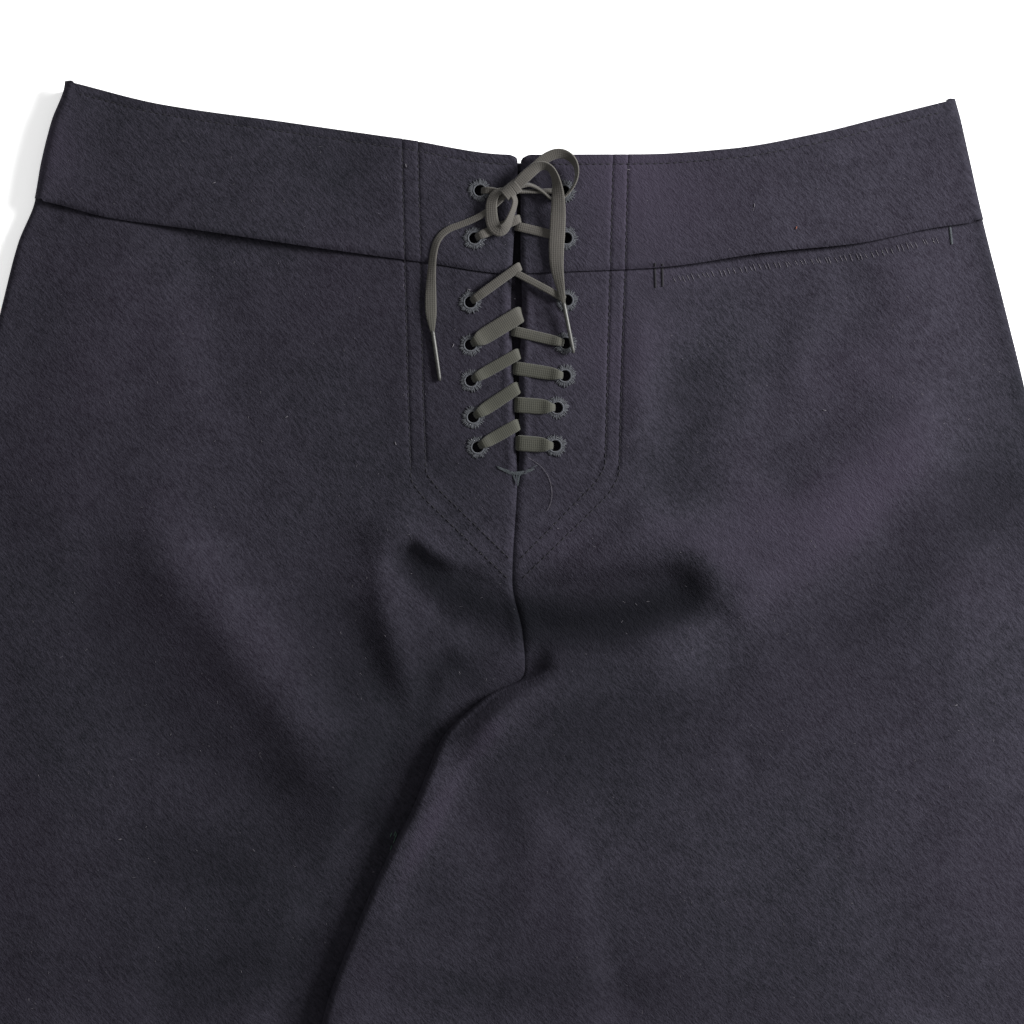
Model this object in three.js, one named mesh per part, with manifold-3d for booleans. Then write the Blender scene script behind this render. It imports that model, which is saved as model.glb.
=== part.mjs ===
// Sailor trousers laid flat with their laced back up, in millimetres.
// +Z is up and +Y runs from the hems to the waist.
// The origin lies on the surface they rest on, under the middle of their length and width.
import * as THREE from "three";
import { mergeVertices } from "three/addons/utils/BufferGeometryUtils.js";
import Module from "manifold-3d";

const wasm = await Module();
wasm.setup();

// Driving dimensions
const OUTSEAM = 1070; // top corner of the waistband to the hem
const HEM_SPREAD = 640; // outer edge of one hem to the outer edge of the other
const CLOTH = 1.6; // melton wool, one layer
const BAND_CLOTH = 3.0; // waistband: two layers of melton, pressed
const GUSSET_CLOTH = 1.2; // underlay behind the lacing
const GAP = 0.3; // clearance at seams and between layers
const SEAM_HALF = 0.15; // half the clearance between two panels sewn edge to edge
const HIDDEN_SEAM = 0.5; // the same in the lower layer
const TUCK_SEAM = 2.2; // the same where the right leg's two layers meet under the crossing
const SIDE_ROLL = 2.4; // radius of the cloth where it turns at a side seam
const BAND_ROLL = 3.2; // the same at the ends of the waistband
const TURN_SLACK = 0.25; // extra clearance under a turned edge, as a share of its thickness

const BUTTON = { radius: 7.5, thick: 2.5, edge: 0.6, sides: 10 };
const EYELET = { hole: 3.3, inner: 2.7, sleeve: 3.0, rim: 5.2, rimThick: 0.6, sides: 12 };
const LACE = { width: 7.4, thick: 1.0, inHole: 3.4, inSlit: 5.0 };
const LOOP = { wide: 1.8, tall: 3.2 }; // a loop of the bow stands on its edge
const TIP = { radius: 0.9, sides: 8 };

// Heights, each worked out from the layers below it
const FLAP_UNDER = BUTTON.thick + GAP;
const FRONT_LIFT = FLAP_UNDER + CLOTH + GAP;
const GUSSET_UNDER = FRONT_LIFT + BAND_CLOTH + GAP;
const LACE_HIDDEN = GUSSET_UNDER + GUSSET_CLOTH + GAP + LACE.thick / 2;
const BACK_UNDER = LACE_HIDDEN + LACE.thick / 2 + GAP;
const BACK_MID = BACK_UNDER + CLOTH / 2;
const BAND_TOP = BACK_UNDER + BAND_CLOTH;
const SIDE_MID = CLOTH * (1 + TURN_SLACK) + GAP + SIDE_ROLL;
const BAND_SIDE_MID = BAND_CLOTH * (1 + TURN_SLACK) + GAP + BAND_ROLL;
const LEG_LOFT = 3.5; // how far a leg's upper layer rises from its sides to its middle
const CROSSED_MID = 5.5; // the left leg's upper layer where it lies under the right leg
const CROSSING_LIFT = CROSSED_MID + CLOTH / 2 + GAP;

const top = OUTSEAM / 2;
const hem = -OUTSEAM / 2;
const hemOuter = HEM_SPREAD / 2;

// Sides of the garment seen from above, from the waist to the hems
const SIDES = [
  { y: top, left: -202.5, right: 199.5 },
  { y: 516, left: -208.8, right: 203.6 },
  { y: 498, left: -213.3, right: 207.6 },
  { y: 480, left: -216.6, right: 211.6 },
  { y: 462, left: -223.9, right: 216.0 },
  { y: 437, left: -230.4, right: 222.4 },
  { y: 382, left: -243.0, right: 235.4 },
  { y: 318, left: -252.0, right: 245.7 },
  { y: 255, left: -256.1, right: 250.2 },
  { y: 188, left: -257.4, right: 249.3 },
  { y: 110, left: -258.3, right: 242.0 },
  { y: 0, left: -261.0, right: 236.0 },
  { y: -120, left: -268.0, right: 238.0 },
  { y: -300, left: -284.0, right: 268.0 },
  { y: hem, left: -hemOuter, right: hemOuter },
];

// The opening down the middle of the back, the seat seam below it, then each leg's inner edge.
// tuckEnd is where the right leg's upper layer ends after it has turned under.
const MIDDLE = [
  { y: top, left: 2.2, right: 4.6, tuckEnd: 4.6 },
  { y: 480, left: 1.8, right: 4.4, tuckEnd: 4.4 },
  { y: 462, left: 0.2, right: 4.4, tuckEnd: 4.4 },
  { y: 431, left: -0.9, right: 4.9, tuckEnd: 4.9 },
  { y: 400, left: 0.2, right: 3.6, tuckEnd: 3.6 },
  { y: 368, left: 1.4, right: 3.8, tuckEnd: 3.8 },
  { y: 354, left: 2.2, right: 2.7, tuckEnd: 2.7 },
  { y: 309, left: 0.0, right: 0.5, tuckEnd: 0.5 },
  { y: 286, left: 4.5, right: 5.0, tuckEnd: 5.0 },
  { y: 270, left: 5.7, right: 6.2, tuckEnd: 6.2 },
  { y: 254, left: 4.6, right: -15.0, tuckEnd: 4.9 },
  { y: 238, left: 2.0, right: -31.5, tuckEnd: 2.3 },
  { y: 222, left: -1.6, right: -38.5, tuckEnd: -1.3 },
  { y: 205, left: -5.0, right: -45.5, tuckEnd: -4.7 },
  { y: 188, left: 14.0, right: -54.5, tuckEnd: -20.0 },
  { y: 150, left: 22.0, right: -71.5, tuckEnd: -41.0 },
  { y: 110, left: 25.0, right: -85.5, tuckEnd: -55.0 },
  { y: 60, left: 26.0, right: -92.0, tuckEnd: -64.0 },
  { y: 0, left: 24.0, right: -86.0, tuckEnd: -60.0 },
  { y: -120, left: 16.0, right: -50.0, tuckEnd: -28.0 },
  { y: -300, left: -6.0, right: -12.0, tuckEnd: 6.0 },
  { y: hem, left: -15.0, right: 15.0, tuckEnd: 21.0 },
];
const CROTCH_Y = 205;
const FOLD_START = 271; // the right leg's edge begins to turn under here
const CROSSING_END = -335; // the legs lie clear of each other below here

// Upper edge of the waistband and the seam that joins it to the legs
const WAIST_EDGE = [
  { x: -214, y: 537 },
  { x: -202, y: 534.8 },
  { x: -158, y: 523.8 },
  { x: -104, y: 515.7 },
  { x: -50, y: 508 },
  { x: 0, y: 500.8 },
  { x: 58, y: 501 },
  { x: 98, y: 503.5 },
  { x: 138, y: 510.7 },
  { x: 166, y: 517.9 },
  { x: 202, y: 527.0 },
  { x: 214, y: 530.0 },
];
const WAIST_SEAM = [
  { x: -222, y: 482.0 },
  { x: -180, y: 473.0 },
  { x: -144, y: 467.9 },
  { x: -95, y: 460.5 },
  { x: -40, y: 453.0 },
  { x: 0, y: 447.8 },
  { x: 22, y: 448.6 },
  { x: 64, y: 450.4 },
  { x: 115, y: 457.4 },
  { x: 155, y: 461.6 },
  { x: 195, y: 469.6 },
  { x: 222, y: 472.4 },
];
const SEAM_MEAN = 460; // the level that the rows of a leg count from
const SEAM_FADE = 130; // below the waist seam, rows have levelled out by here
const BAND_CORNER = 4; // radius of the waistband's upper corners beside the opening

// Middle height of the upper layer along the seat seam and the inner edges
const MIDDLE_HEIGHTS = [
  { y: top, left: BACK_MID, right: BACK_MID },
  { y: 350, left: BACK_MID, right: BACK_MID },
  { y: 326, left: 11.0, right: 11.2 },
  { y: 304, left: 8.6, right: 8.6 },
  { y: 286, left: 6.6, right: 8.2 },
  { y: FOLD_START, left: CROSSED_MID, right: 10.6 },
  { y: 254, left: CROSSED_MID, right: 13.4 },
  { y: 0, left: CROSSED_MID, right: 14.6 },
  { y: -120, left: CROSSED_MID, right: 14.2 },
  { y: -240, left: CROSSED_MID, right: 12.8 },
  { y: CROSSING_END, left: SIDE_MID, right: 11.4 },
  { y: -420, left: SIDE_MID, right: 6.0 },
  { y: hem, left: SIDE_MID, right: 4.4 },
];

// Folds of the back, each along a bent line of three points. A rise below nought is a valley.
const FOLDS = [
  { from: [-190, 372], via: [-138, 268], to: [-58, 196], rise: -6.0, width: 17 },
  { from: [-150, 400], via: [-88, 300], to: [-50, 215], rise: 7.5, width: 26 },
  { from: [-74, 346], via: [-80, 290], to: [-44, 238], rise: -4.0, width: 10 },
  { from: [-52, 330], via: [6, 276], to: [94, 312], rise: -5.0, width: 13 },
  { from: [-20, 246], via: [110, 282], to: [214, 396], rise: 9.0, width: 25 },
  { from: [44, 246], via: [128, 258], to: [178, 335], rise: -3.0, width: 22 },
  { from: [72, 420], via: [88, 372], to: [52, 330], rise: -2.0, width: 18 },
  { from: [172, 396], via: [150, 362], to: [104, 334], rise: -3.0, width: 18 },
  { from: [20, 190], via: [4, 160], to: [-2, 132], rise: -2.2, width: 9 },
  { from: [-186, 178], via: [-127, 186], to: [-66, 172], rise: -2.0, width: 16 },
  { from: [196, 150], via: [128, 96], to: [92, 10], rise: 4.5, width: 24 },
  { from: [-216, 130], via: [-176, 10], to: [-150, -120], rise: 4.5, width: 24 },
  { from: [-96, 60], via: [-120, -90], to: [-96, -260], rise: 4.0, width: 22 },
  { from: [-40, 40], via: [20, -110], to: [70, -250], rise: 5.0, width: 22 },
  { from: [190, 20], via: [176, -130], to: [150, -300], rise: 4.5, width: 24 },
  { from: [-232, -190], via: [-222, -330], to: [-242, -470], rise: 4.0, width: 22 },
  { from: [-90, -260], via: [-96, -390], to: [-76, -510], rise: 3.5, width: 20 },
  { from: [96, -240], via: [92, -380], to: [112, -510], rise: 4.0, width: 22 },
  { from: [226, -260], via: [238, -390], to: [256, -500], rise: 3.5, width: 20 },
];
const FOLD_STEPS = 14;

// The laced opening: each row's two eyelets, and where its runs drop through the opening
const EYELETS = [
  { left: [-14.5, 484.6], right: [23.4, 484.2] },
  { left: [-16.9, 463.2], right: [24.4, 463.2], dropLeft: 474.2, dropRight: 467.6 },
  { left: [-18.8, 434.5], right: [24.6, 435.4], dropLeft: 455.6, dropRight: 449.0 },
  { left: [-18.8, 415.3], right: [24.1, 416.0], dropLeft: 426.4, dropRight: 420.2 },
  { left: [-18.5, 399.2], right: [23.8, 401.4], dropLeft: 410.2, dropRight: 404.2 },
  { left: [-17.5, 382.8], right: [20.3, 387.0], dropLeft: 395.8, dropRight: 389.8 },
  { left: [-15.5, 369.3], right: [19.4, 369.9], dropLeft: 380.6, dropRight: 374.6 },
];
const BAND_ROWS = 2; // rows of eyelets that lie in the waistband
const BAND_FOOT = 446; // near the opening, the waistband's cloth reaches down to here

// Front flap, and how far the front panels take to come down to the surface beyond it
const FLAP = { top: 486, bottom: 312, halfTop: 112, halfBottom: 92, corner: 16, margin: 6, ramp: 30 };
// Buttons: five along the flap's upper edge and four down each side
const BUTTONS_ACROSS = 5;
const BUTTONS_DOWN = 4;
const BUTTON_INSET = 15;
const BUTTON_PITCH = 38;

const GUSSET = { top: 494, bottom: 338, middle: 3, halfTop: 36, halfBottom: 26 };

// Levels of the rows and numbers of columns in the panels
const BACK_LEVELS = [
  { to: 292, rows: 14 },
  { to: 236, rows: 9 },
  { to: 92, rows: 10 },
  { to: hem, rows: 11 },
];
const FRONT_LEVELS = [
  { to: 306, rows: 5 },
  { to: 276, rows: 3 },
  { to: 244, rows: 1 },
  { to: 204, rows: 4 },
  { to: 92, rows: 7 },
  { to: hem, rows: 11 },
];
const LEG_COLUMNS = 17;
const ROLL_COLUMNS = 5;
const FLAT_PITCH = 2.6; // distance between the columns beside the seam where nothing turns under
const BAND_ROW_COUNT = 4;
const BAND_COLUMNS = 11;

const clamp01 = (v) => Math.min(1, Math.max(0, v));
const smooth = (v) => clamp01(v) ** 2 * (3 - 2 * clamp01(v));
const mix = (a, b, share) => a + (b - a) * share;

// A function that reads one column of a table, along a smooth curve through its rows.
function track(table, key, column) {
  const rows = [...table].sort((a, b) => a[key] - b[key]);
  const slope = (i) => {
    if (i === 0 || i === rows.length - 1) return 0;
    const before = (rows[i][column] - rows[i - 1][column]) / (rows[i][key] - rows[i - 1][key]);
    const after = (rows[i + 1][column] - rows[i][column]) / (rows[i + 1][key] - rows[i][key]);
    return before * after > 0 ? (2 * before * after) / (before + after) : 0;
  };
  const slopes = rows.map((_, i) => slope(i));
  return (value) => {
    const at = Math.min(rows[rows.length - 1][key], Math.max(rows[0][key], value));
    let i = 0;
    while (i < rows.length - 2 && rows[i + 1][key] < at) i += 1;
    const span = rows[i + 1][key] - rows[i][key];
    const t = (at - rows[i][key]) / span;
    return (
      rows[i][column] * (1 + 2 * t) * (1 - t) ** 2 +
      rows[i + 1][column] * t ** 2 * (3 - 2 * t) +
      slopes[i] * span * t * (1 - t) ** 2 -
      slopes[i + 1] * span * t ** 2 * (1 - t)
    );
  };
}

const sideLeft = track(SIDES, "y", "left");
const sideRight = track(SIDES, "y", "right");
const middleLeft = track(MIDDLE, "y", "left");
const middleRight = track(MIDDLE, "y", "right");
const tuckEnd = track(MIDDLE, "y", "tuckEnd");
const waistEdge = track(WAIST_EDGE, "x", "y");
const waistSeam = track(WAIST_SEAM, "x", "y");
const middleHeightLeft = track(MIDDLE_HEIGHTS, "y", "left");
const middleHeightRight = track(MIDDLE_HEIGHTS, "y", "right");

// Each fold with the points along its bent line
const foldLines = FOLDS.map((fold) => {
  const line = new THREE.QuadraticBezierCurve(
    new THREE.Vector2(...fold.from),
    new THREE.Vector2(...fold.via),
    new THREE.Vector2(...fold.to),
  );
  return { ...fold, points: line.getPoints(FOLD_STEPS) };
});

// How far the folds lift or sink the cloth at a place.
function foldRise(x, y) {
  let sum = 0;
  for (const { points, rise, width } of foldLines) {
    let nearest = Infinity;
    let along = 0;
    for (let i = 0; i < points.length - 1; i += 1) {
      const a = points[i];
      const dx = points[i + 1].x - a.x;
      const dy = points[i + 1].y - a.y;
      const t = clamp01(((x - a.x) * dx + (y - a.y) * dy) / (dx * dx + dy * dy));
      const distance = Math.hypot(x - a.x - t * dx, y - a.y - t * dy);
      if (distance < nearest) {
        nearest = distance;
        along = (i + t) / (points.length - 1);
      }
    }
    const taper = smooth(along * 4) * smooth((1 - along) * 4);
    sum += rise * taper * Math.exp(-((nearest / width) ** 2));
  }
  return sum;
}

// Half the width over which the front panels stand off fully, over the flap.
function rampStart(y) {
  const down = clamp01((FLAP.top - y) / (FLAP.top - FLAP.bottom));
  return mix(FLAP.halfTop, FLAP.halfBottom, down) + FLAP.margin;
}

const rampEnd = (y) => rampStart(y) + FLAP.ramp;

// How far the front panels stand off the surface over the buttoned flap.
function flapLift(x, y) {
  const clear = Math.max(Math.abs(x) - rampStart(y), FLAP.bottom - FLAP.margin - y);
  return FRONT_LIFT * (1 - smooth(clear / FLAP.ramp));
}

// How far the right leg's lower layer stands off the surface, to lie over the left leg.
function crossingLift(x, y) {
  const across = smooth((middleLeft(Math.min(y, CROTCH_Y)) + 34 - x) / 26);
  const above = smooth((CROTCH_Y + 34 - y) / 30);
  const below = smooth((y - CROSSING_END + 75) / 75);
  return CROSSING_LIFT * across * above * below;
}

// Height of the part that has turned under, which lies on the left leg all the way up to the fold.
const tuckLift = (y) => CROSSING_LIFT * smooth((y - CROSSING_END + 75) / 75);

// Folds keep clear of the laced opening and fade out at the sides.
function calm(fromSide, fromMiddle, y) {
  const start = 42 * smooth((y - 300) / 40);
  return smooth(fromSide / 26) * smooth((fromMiddle - start) / 16);
}

// Middle height of an upper layer before anything under it pushes it up.
function relaxedHeight(x, y, fromSide, fromMiddle, middleHeight) {
  const loft = SIDE_MID + LEG_LOFT * smooth(fromSide / 55);
  const start = 42 * smooth((y - 300) / 40);
  const settled = smooth((fromMiddle - start) / 80);
  return mix(middleHeight, loft, settled) + foldRise(x, y) * calm(fromSide, fromMiddle, y);
}

function leftHeight(x, y) {
  const fromMiddle = middleLeft(y) - x;
  const relaxed = relaxedHeight(x, y, x - sideLeft(y), fromMiddle, middleHeightLeft(y));
  const covered = smooth((x - middleRight(y) + 36) / 20) * smooth((FOLD_START + 12 - y) / 16);
  const uncrossed = smooth((CROSSING_END - y) / 40);
  const height = mix(relaxed, CROSSED_MID, covered * (1 - uncrossed));
  return Math.max(height, flapLift(x, y) + CLOTH * 1.5 + GAP);
}

function rightHeight(x, y) {
  const relaxed = relaxedHeight(x, y, sideRight(y) - x, x - middleRight(y), middleHeightRight(y));
  const under = Math.max(flapLift(x, y), crossingLift(x, y) + 1);
  return Math.max(relaxed, under + CLOTH * 1.5 + GAP);
}

// Closes a grid of middle points into one wall of the given thickness.
// Rows run down the garment and columns run to the right, so the outer side faces up.
function wall(grid, thickness) {
  const rows = grid.length;
  const columns = grid[0].length;
  const at = (i, j) => grid[Math.min(rows - 1, Math.max(0, i))][Math.min(columns - 1, Math.max(0, j))];
  const positions = [];
  for (const side of [1, -1]) {
    for (let i = 0; i < rows; i += 1) {
      for (let j = 0; j < columns; j += 1) {
        const across = at(i, j + 1).clone().sub(at(i, j - 1));
        const up = at(i - 1, j).clone().sub(at(i + 1, j));
        const normal = across.cross(up).normalize();
        const point = grid[i][j].clone().addScaledVector(normal, (side * thickness) / 2);
        positions.push(point.x, point.y, point.z);
      }
    }
  }
  const outer = (i, j) => i * columns + j;
  const inner = (i, j) => rows * columns + outer(i, j);
  const index = [];
  const quad = (a, b, c, d) => index.push(a, b, c, a, c, d);
  // Each quad is split along its flatter diagonal, so that slanting folds stay even.
  const splitQuad = (a, b, c, d) => {
    const height = (k) => positions[k * 3 + 2];
    if (Math.abs(height(a) - height(c)) <= Math.abs(height(b) - height(d))) quad(a, b, c, d);
    else quad(b, c, d, a);
  };
  for (let i = 0; i < rows - 1; i += 1) {
    for (let j = 0; j < columns - 1; j += 1) {
      splitQuad(outer(i, j), outer(i + 1, j), outer(i + 1, j + 1), outer(i, j + 1));
      splitQuad(inner(i, j), inner(i, j + 1), inner(i + 1, j + 1), inner(i + 1, j));
    }
    quad(outer(i, 0), inner(i, 0), inner(i + 1, 0), outer(i + 1, 0));
    quad(outer(i + 1, columns - 1), inner(i + 1, columns - 1), inner(i, columns - 1), outer(i, columns - 1));
  }
  for (let j = 0; j < columns - 1; j += 1) {
    quad(outer(0, j + 1), inner(0, j + 1), inner(0, j), outer(0, j));
    quad(outer(rows - 1, j), inner(rows - 1, j), inner(rows - 1, j + 1), outer(rows - 1, j + 1));
  }
  return solidGeometry(positions, index);
}

function solidGeometry(positions, index) {
  const geometry = new THREE.BufferGeometry();
  geometry.setAttribute("position", new THREE.Float32BufferAttribute(positions, 3));
  geometry.setIndex(index);
  return geometry;
}

function toManifold(geometry) {
  const bare = solidGeometry([...geometry.getAttribute("position").array], geometry.index);
  const merged = mergeVertices(bare, 1e-4);
  return new wasm.Manifold(
    new wasm.Mesh({
      numProp: 3,
      vertProperties: merged.attributes.position.array,
      triVerts: new Uint32Array(merged.index.array),
    }),
  );
}

// Cuts a round hole for each eyelet through a panel.
function withEyeletHoles(geometry, places) {
  let solid = toManifold(geometry);
  for (const [x, y] of places) {
    const drill = new THREE.CylinderGeometry(EYELET.hole, EYELET.hole, BACK_UNDER, EYELET.sides);
    drill.rotateX(Math.PI / 2).translate(x, y, BACK_UNDER);
    solid = solid.subtract(toManifold(drill));
  }
  const mesh = solid.getMesh();
  return solidGeometry([...mesh.vertProperties], [...mesh.triVerts]);
}

// Levels of a panel's rows from the waist seam to the hem.
function levelsOf(bands) {
  const levels = [SEAM_MEAN];
  for (const { to, rows } of bands) {
    const from = levels[levels.length - 1];
    for (let i = 1; i <= rows; i += 1) levels.push(mix(from, to, i / rows));
  }
  return levels;
}

// Columns as functions of y: counts[k] of them between one stop and the next.
function columnsBetween(stops, counts) {
  const columns = [stops[0]];
  counts.forEach((count, k) => {
    for (let i = 1; i <= count; i += 1) {
      columns.push((y) => mix(stops[k](y), stops[k + 1](y), i / count));
    }
  });
  return columns;
}

// The level of a row at x: it follows the waist seam at the top and is straight further down.
function rowLevel(level, x, clearance = SEAM_HALF) {
  const share = smooth((level - (SEAM_MEAN - SEAM_FADE)) / SEAM_FADE);
  return level + (waistSeam(x) - clearance - SEAM_MEAN) * share;
}

// Where a column, given as x for each y, meets a row, given as y for each x.
function crossing(column, row) {
  let y = row(0);
  let x = 0;
  for (let pass = 0; pass < 5; pass += 1) {
    x = column(y);
    y = row(x);
  }
  return [x, y];
}

// The cloth's quarter turn at a side seam: 0 is its end over the front, a right angle its upper side.
function sideTurn([x, y], inward, radius, thickness, angle) {
  const reach = thickness / 2 + radius * (1 - Math.cos(angle));
  const end = thickness * (1 + TURN_SLACK) + GAP + flapLift(x, y);
  return new THREE.Vector3(x + inward * reach, y, end + radius * Math.sin(angle));
}

function legBackLeft() {
  const turned = CLOTH / 2 + SIDE_ROLL;
  const grid = levelsOf(BACK_LEVELS).map((level) => {
    const row = (x) => rowLevel(level, x);
    const inner = smooth((CROTCH_Y + 8 - level) / 24);
    const edge = crossing(middleLeft, row);
    const side = crossing(sideLeft, row);
    const points = [0, Math.PI / 4].map((angle) => sideTurn(side, 1, SIDE_ROLL, CLOTH, angle));
    const stops = [(y) => sideLeft(y) + turned, (y) => middleLeft(y) - mix(2 * FLAT_PITCH, turned, inner)];
    for (const column of columnsBetween(stops, [LEG_COLUMNS])) {
      const [x, y] = crossing(column, row);
      points.push(new THREE.Vector3(x, y, leftHeight(x, y)));
    }
    // Below the crotch the inner edge turns down as the side does.
    const fall = (points[points.length - 1].z - SIDE_MID) * inner;
    [FLAT_PITCH, 0].forEach((back, k) => {
      const angle = ((1 - k) * Math.PI) / 4;
      const x = edge[0] - back;
      const flat = new THREE.Vector3(x, edge[1], leftHeight(x, edge[1]));
      const turn = sideTurn(edge, -1, SIDE_ROLL, CLOTH, angle);
      turn.z += fall * Math.sin(angle);
      points.push(flat.lerp(turn, inner));
    });
    return points;
  });
  return wall(grid, CLOTH);
}

function legBackRight() {
  const turned = CLOTH / 2 + SIDE_ROLL;
  const grid = levelsOf(BACK_LEVELS).map((level) => {
    const row = (x) => rowLevel(level, x);
    const rolled = smooth((FOLD_START - level) / 13);
    const [edge, y] = crossing(middleRight, row);
    const under = tuckLift(y) + CLOTH / 2;
    const radius = (rightHeight(edge, y) - under) / 2;
    const points = [];
    for (let j = 0; j <= ROLL_COLUMNS; j += 1) {
      // Where nothing turns under, the cloth climbs from the seam, level with the left panel.
      const x = tuckEnd(y) + FLAT_PITCH * j;
      const climb = smooth(j / ROLL_COLUMNS);
      const flat = new THREE.Vector3(x, y, mix(leftHeight(middleLeft(y), y), rightHeight(x, y), climb));
      const angle = Math.PI / 2 + ((ROLL_COLUMNS - j) / (ROLL_COLUMNS - 1)) * Math.PI;
      const turn = new THREE.Vector3(
        edge + CLOTH / 2 + radius * (1 + Math.cos(angle)),
        y,
        under + radius * (1 + Math.sin(angle)),
      );
      if (j === 0) turn.set(Math.max(tuckEnd(y), turn.x + radius), y, under);
      points.push(flat.lerp(turn, rolled));
    }
    const start = points[ROLL_COLUMNS].x - edge;
    const stops = [(v) => middleRight(v) + start, (v) => sideRight(v) - turned];
    for (const column of columnsBetween(stops, [LEG_COLUMNS]).slice(1)) {
      const [x, v] = crossing(column, row);
      points.push(new THREE.Vector3(x, v, rightHeight(x, v)));
    }
    const side = crossing(sideRight, row);
    for (const angle of [Math.PI / 4, 0]) points.push(sideTurn(side, -1, SIDE_ROLL, CLOTH, angle));
    return points;
  });
  return wall(grid, CLOTH);
}

// A front leg, flat on the surface but where it lies over the flap or the other leg.
function legFront(columns, lift) {
  const grid = levelsOf(FRONT_LEVELS).map((level) =>
    columns.map((column) => {
      const [x, y] = crossing(column, (v) => rowLevel(level, v, HIDDEN_SEAM));
      return new THREE.Vector3(x, y, CLOTH / 2 + Math.max(flapLift(x, y), lift(x, y)));
    }),
  );
  return wall(grid, CLOTH);
}

function legFrontLeft() {
  const middle = (y) => (y > CROTCH_Y ? tuckEnd(y) : middleLeft(y)) - HIDDEN_SEAM;
  const stops = [sideLeft, (y) => -rampEnd(y), (y) => -rampStart(y), middle];
  return legFront(columnsBetween(stops, [3, 2, 4]), () => 0);
}

function legFrontRight() {
  const onLeft = (y) => middleLeft(Math.min(y, CROTCH_Y));
  const stops = [
    (y) => tuckEnd(y) + (y > CROTCH_Y ? HIDDEN_SEAM : TUCK_SEAM),
    (y) => Math.max(onLeft(y) + 8, tuckEnd(y) + 8),
    (y) => Math.max(onLeft(y) + 34, tuckEnd(y) + 34),
    rampStart,
    rampEnd,
    sideRight,
  ];
  return legFront(columnsBetween(stops, [1, 2, 3, 2, 3]), crossingLift);
}

// The waistband's upper edge, rounded off beside the opening at x = middle.
function roundedEdge(x, middle) {
  const near = clamp01(1 - Math.abs(x - middle) / BAND_CORNER);
  return waistEdge(x) - BAND_CORNER * (1 - Math.sqrt(1 - near ** 2));
}

const bandLevels = Array.from({ length: BAND_ROW_COUNT + 1 }, (_, i) => 1 - i / BAND_ROW_COUNT);

// Half of the back waistband. Its outer end turns down over the front one.
function bandBack(side, middle, inward) {
  const turned = BAND_CLOTH / 2 + BAND_ROLL;
  const grid = bandLevels.map((up) => {
    const row = (x) => mix(waistSeam(x) + SEAM_HALF, roundedEdge(x, middle(top)), up);
    const end = crossing(side, row);
    const points = [0, Math.PI / 4].map((angle) => sideTurn(end, inward, BAND_ROLL, BAND_CLOTH, angle));
    const stops = [
      (y) => side(y) + inward * turned,
      (y) => middle(y) - inward * 3 * BAND_CORNER,
      (y) => middle(y) - inward * BAND_CORNER,
      middle,
    ];
    for (const column of columnsBetween(stops, [BAND_COLUMNS, 1, 3])) {
      const [x, y] = crossing(column, row);
      const rise = smooth((Math.abs(x - side(y)) - turned) / 110);
      points.push(new THREE.Vector3(x, y, mix(BAND_SIDE_MID, BACK_UNDER + BAND_CLOTH / 2, rise)));
    }
    return inward > 0 ? points : points.reverse();
  });
  return wall(grid, BAND_CLOTH);
}

// Half of the front waistband, flat on the surface but where it lies over the flap.
function bandFront(stops, counts) {
  const grid = bandLevels.map((up) =>
    columnsBetween(stops, counts).map((column) => {
      const row = (x) => mix(waistSeam(x) + HIDDEN_SEAM, waistEdge(x) - BAND_CLOTH, up);
      const [x, y] = crossing(column, row);
      return new THREE.Vector3(x, y, BAND_CLOTH / 2 + flapLift(x, y));
    }),
  );
  return wall(grid, BAND_CLOTH);
}

// The underlay behind the lacing, narrower at its lower end.
function gussetGeometry() {
  const { top: upper, bottom, middle, halfTop, halfBottom } = GUSSET;
  const outline = new THREE.Shape();
  outline.moveTo(middle - halfBottom, bottom);
  outline.lineTo(middle + halfBottom, bottom);
  outline.lineTo(middle + halfTop, upper);
  outline.lineTo(middle - halfTop, upper);
  outline.closePath();
  const geometry = new THREE.ExtrudeGeometry(outline, { depth: GUSSET_CLOTH, bevelEnabled: false });
  return geometry.translate(0, 0, GUSSET_UNDER);
}

// The front flap, with rounded upper corners.
function flapGeometry() {
  const { top: upper, bottom, halfTop, halfBottom, corner } = FLAP;
  const outline = new THREE.Shape();
  outline.moveTo(-halfBottom, bottom);
  outline.lineTo(halfBottom, bottom);
  outline.lineTo(halfTop, upper - corner);
  outline.quadraticCurveTo(halfTop, upper, halfTop - corner, upper);
  outline.lineTo(-halfTop + corner, upper);
  outline.quadraticCurveTo(-halfTop, upper, -halfTop, upper - corner);
  outline.closePath();
  const geometry = new THREE.ExtrudeGeometry(outline, { depth: CLOTH, bevelEnabled: false, curveSegments: 5 });
  return geometry.translate(0, 0, FLAP_UNDER);
}

function buttonGeometry() {
  const { radius, thick, edge, sides } = BUTTON;
  const profile = [
    new THREE.Vector2(0, 0),
    new THREE.Vector2(radius - edge, 0),
    new THREE.Vector2(radius, edge),
    new THREE.Vector2(radius, thick - edge),
    new THREE.Vector2(radius - edge, thick),
    new THREE.Vector2(0, thick),
  ];
  return new THREE.LatheGeometry(profile, sides).rotateX(Math.PI / 2);
}

// Places of the buttons along the flap's upper edge and down its sides.
function buttonPlaces() {
  const { top: upper, bottom, halfTop, halfBottom } = FLAP;
  const half = halfTop - BUTTON_INSET;
  const places = [];
  for (let i = 0; i < BUTTONS_ACROSS; i += 1) {
    places.push([mix(-half, half, i / (BUTTONS_ACROSS - 1)), upper - BUTTON_INSET]);
  }
  for (let i = 1; i <= BUTTONS_DOWN; i += 1) {
    const y = upper - BUTTON_INSET - i * BUTTON_PITCH;
    const x = half - ((halfTop - halfBottom) * (upper - y)) / (upper - bottom);
    places.push([-x, y], [x, y]);
  }
  return places;
}

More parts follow.
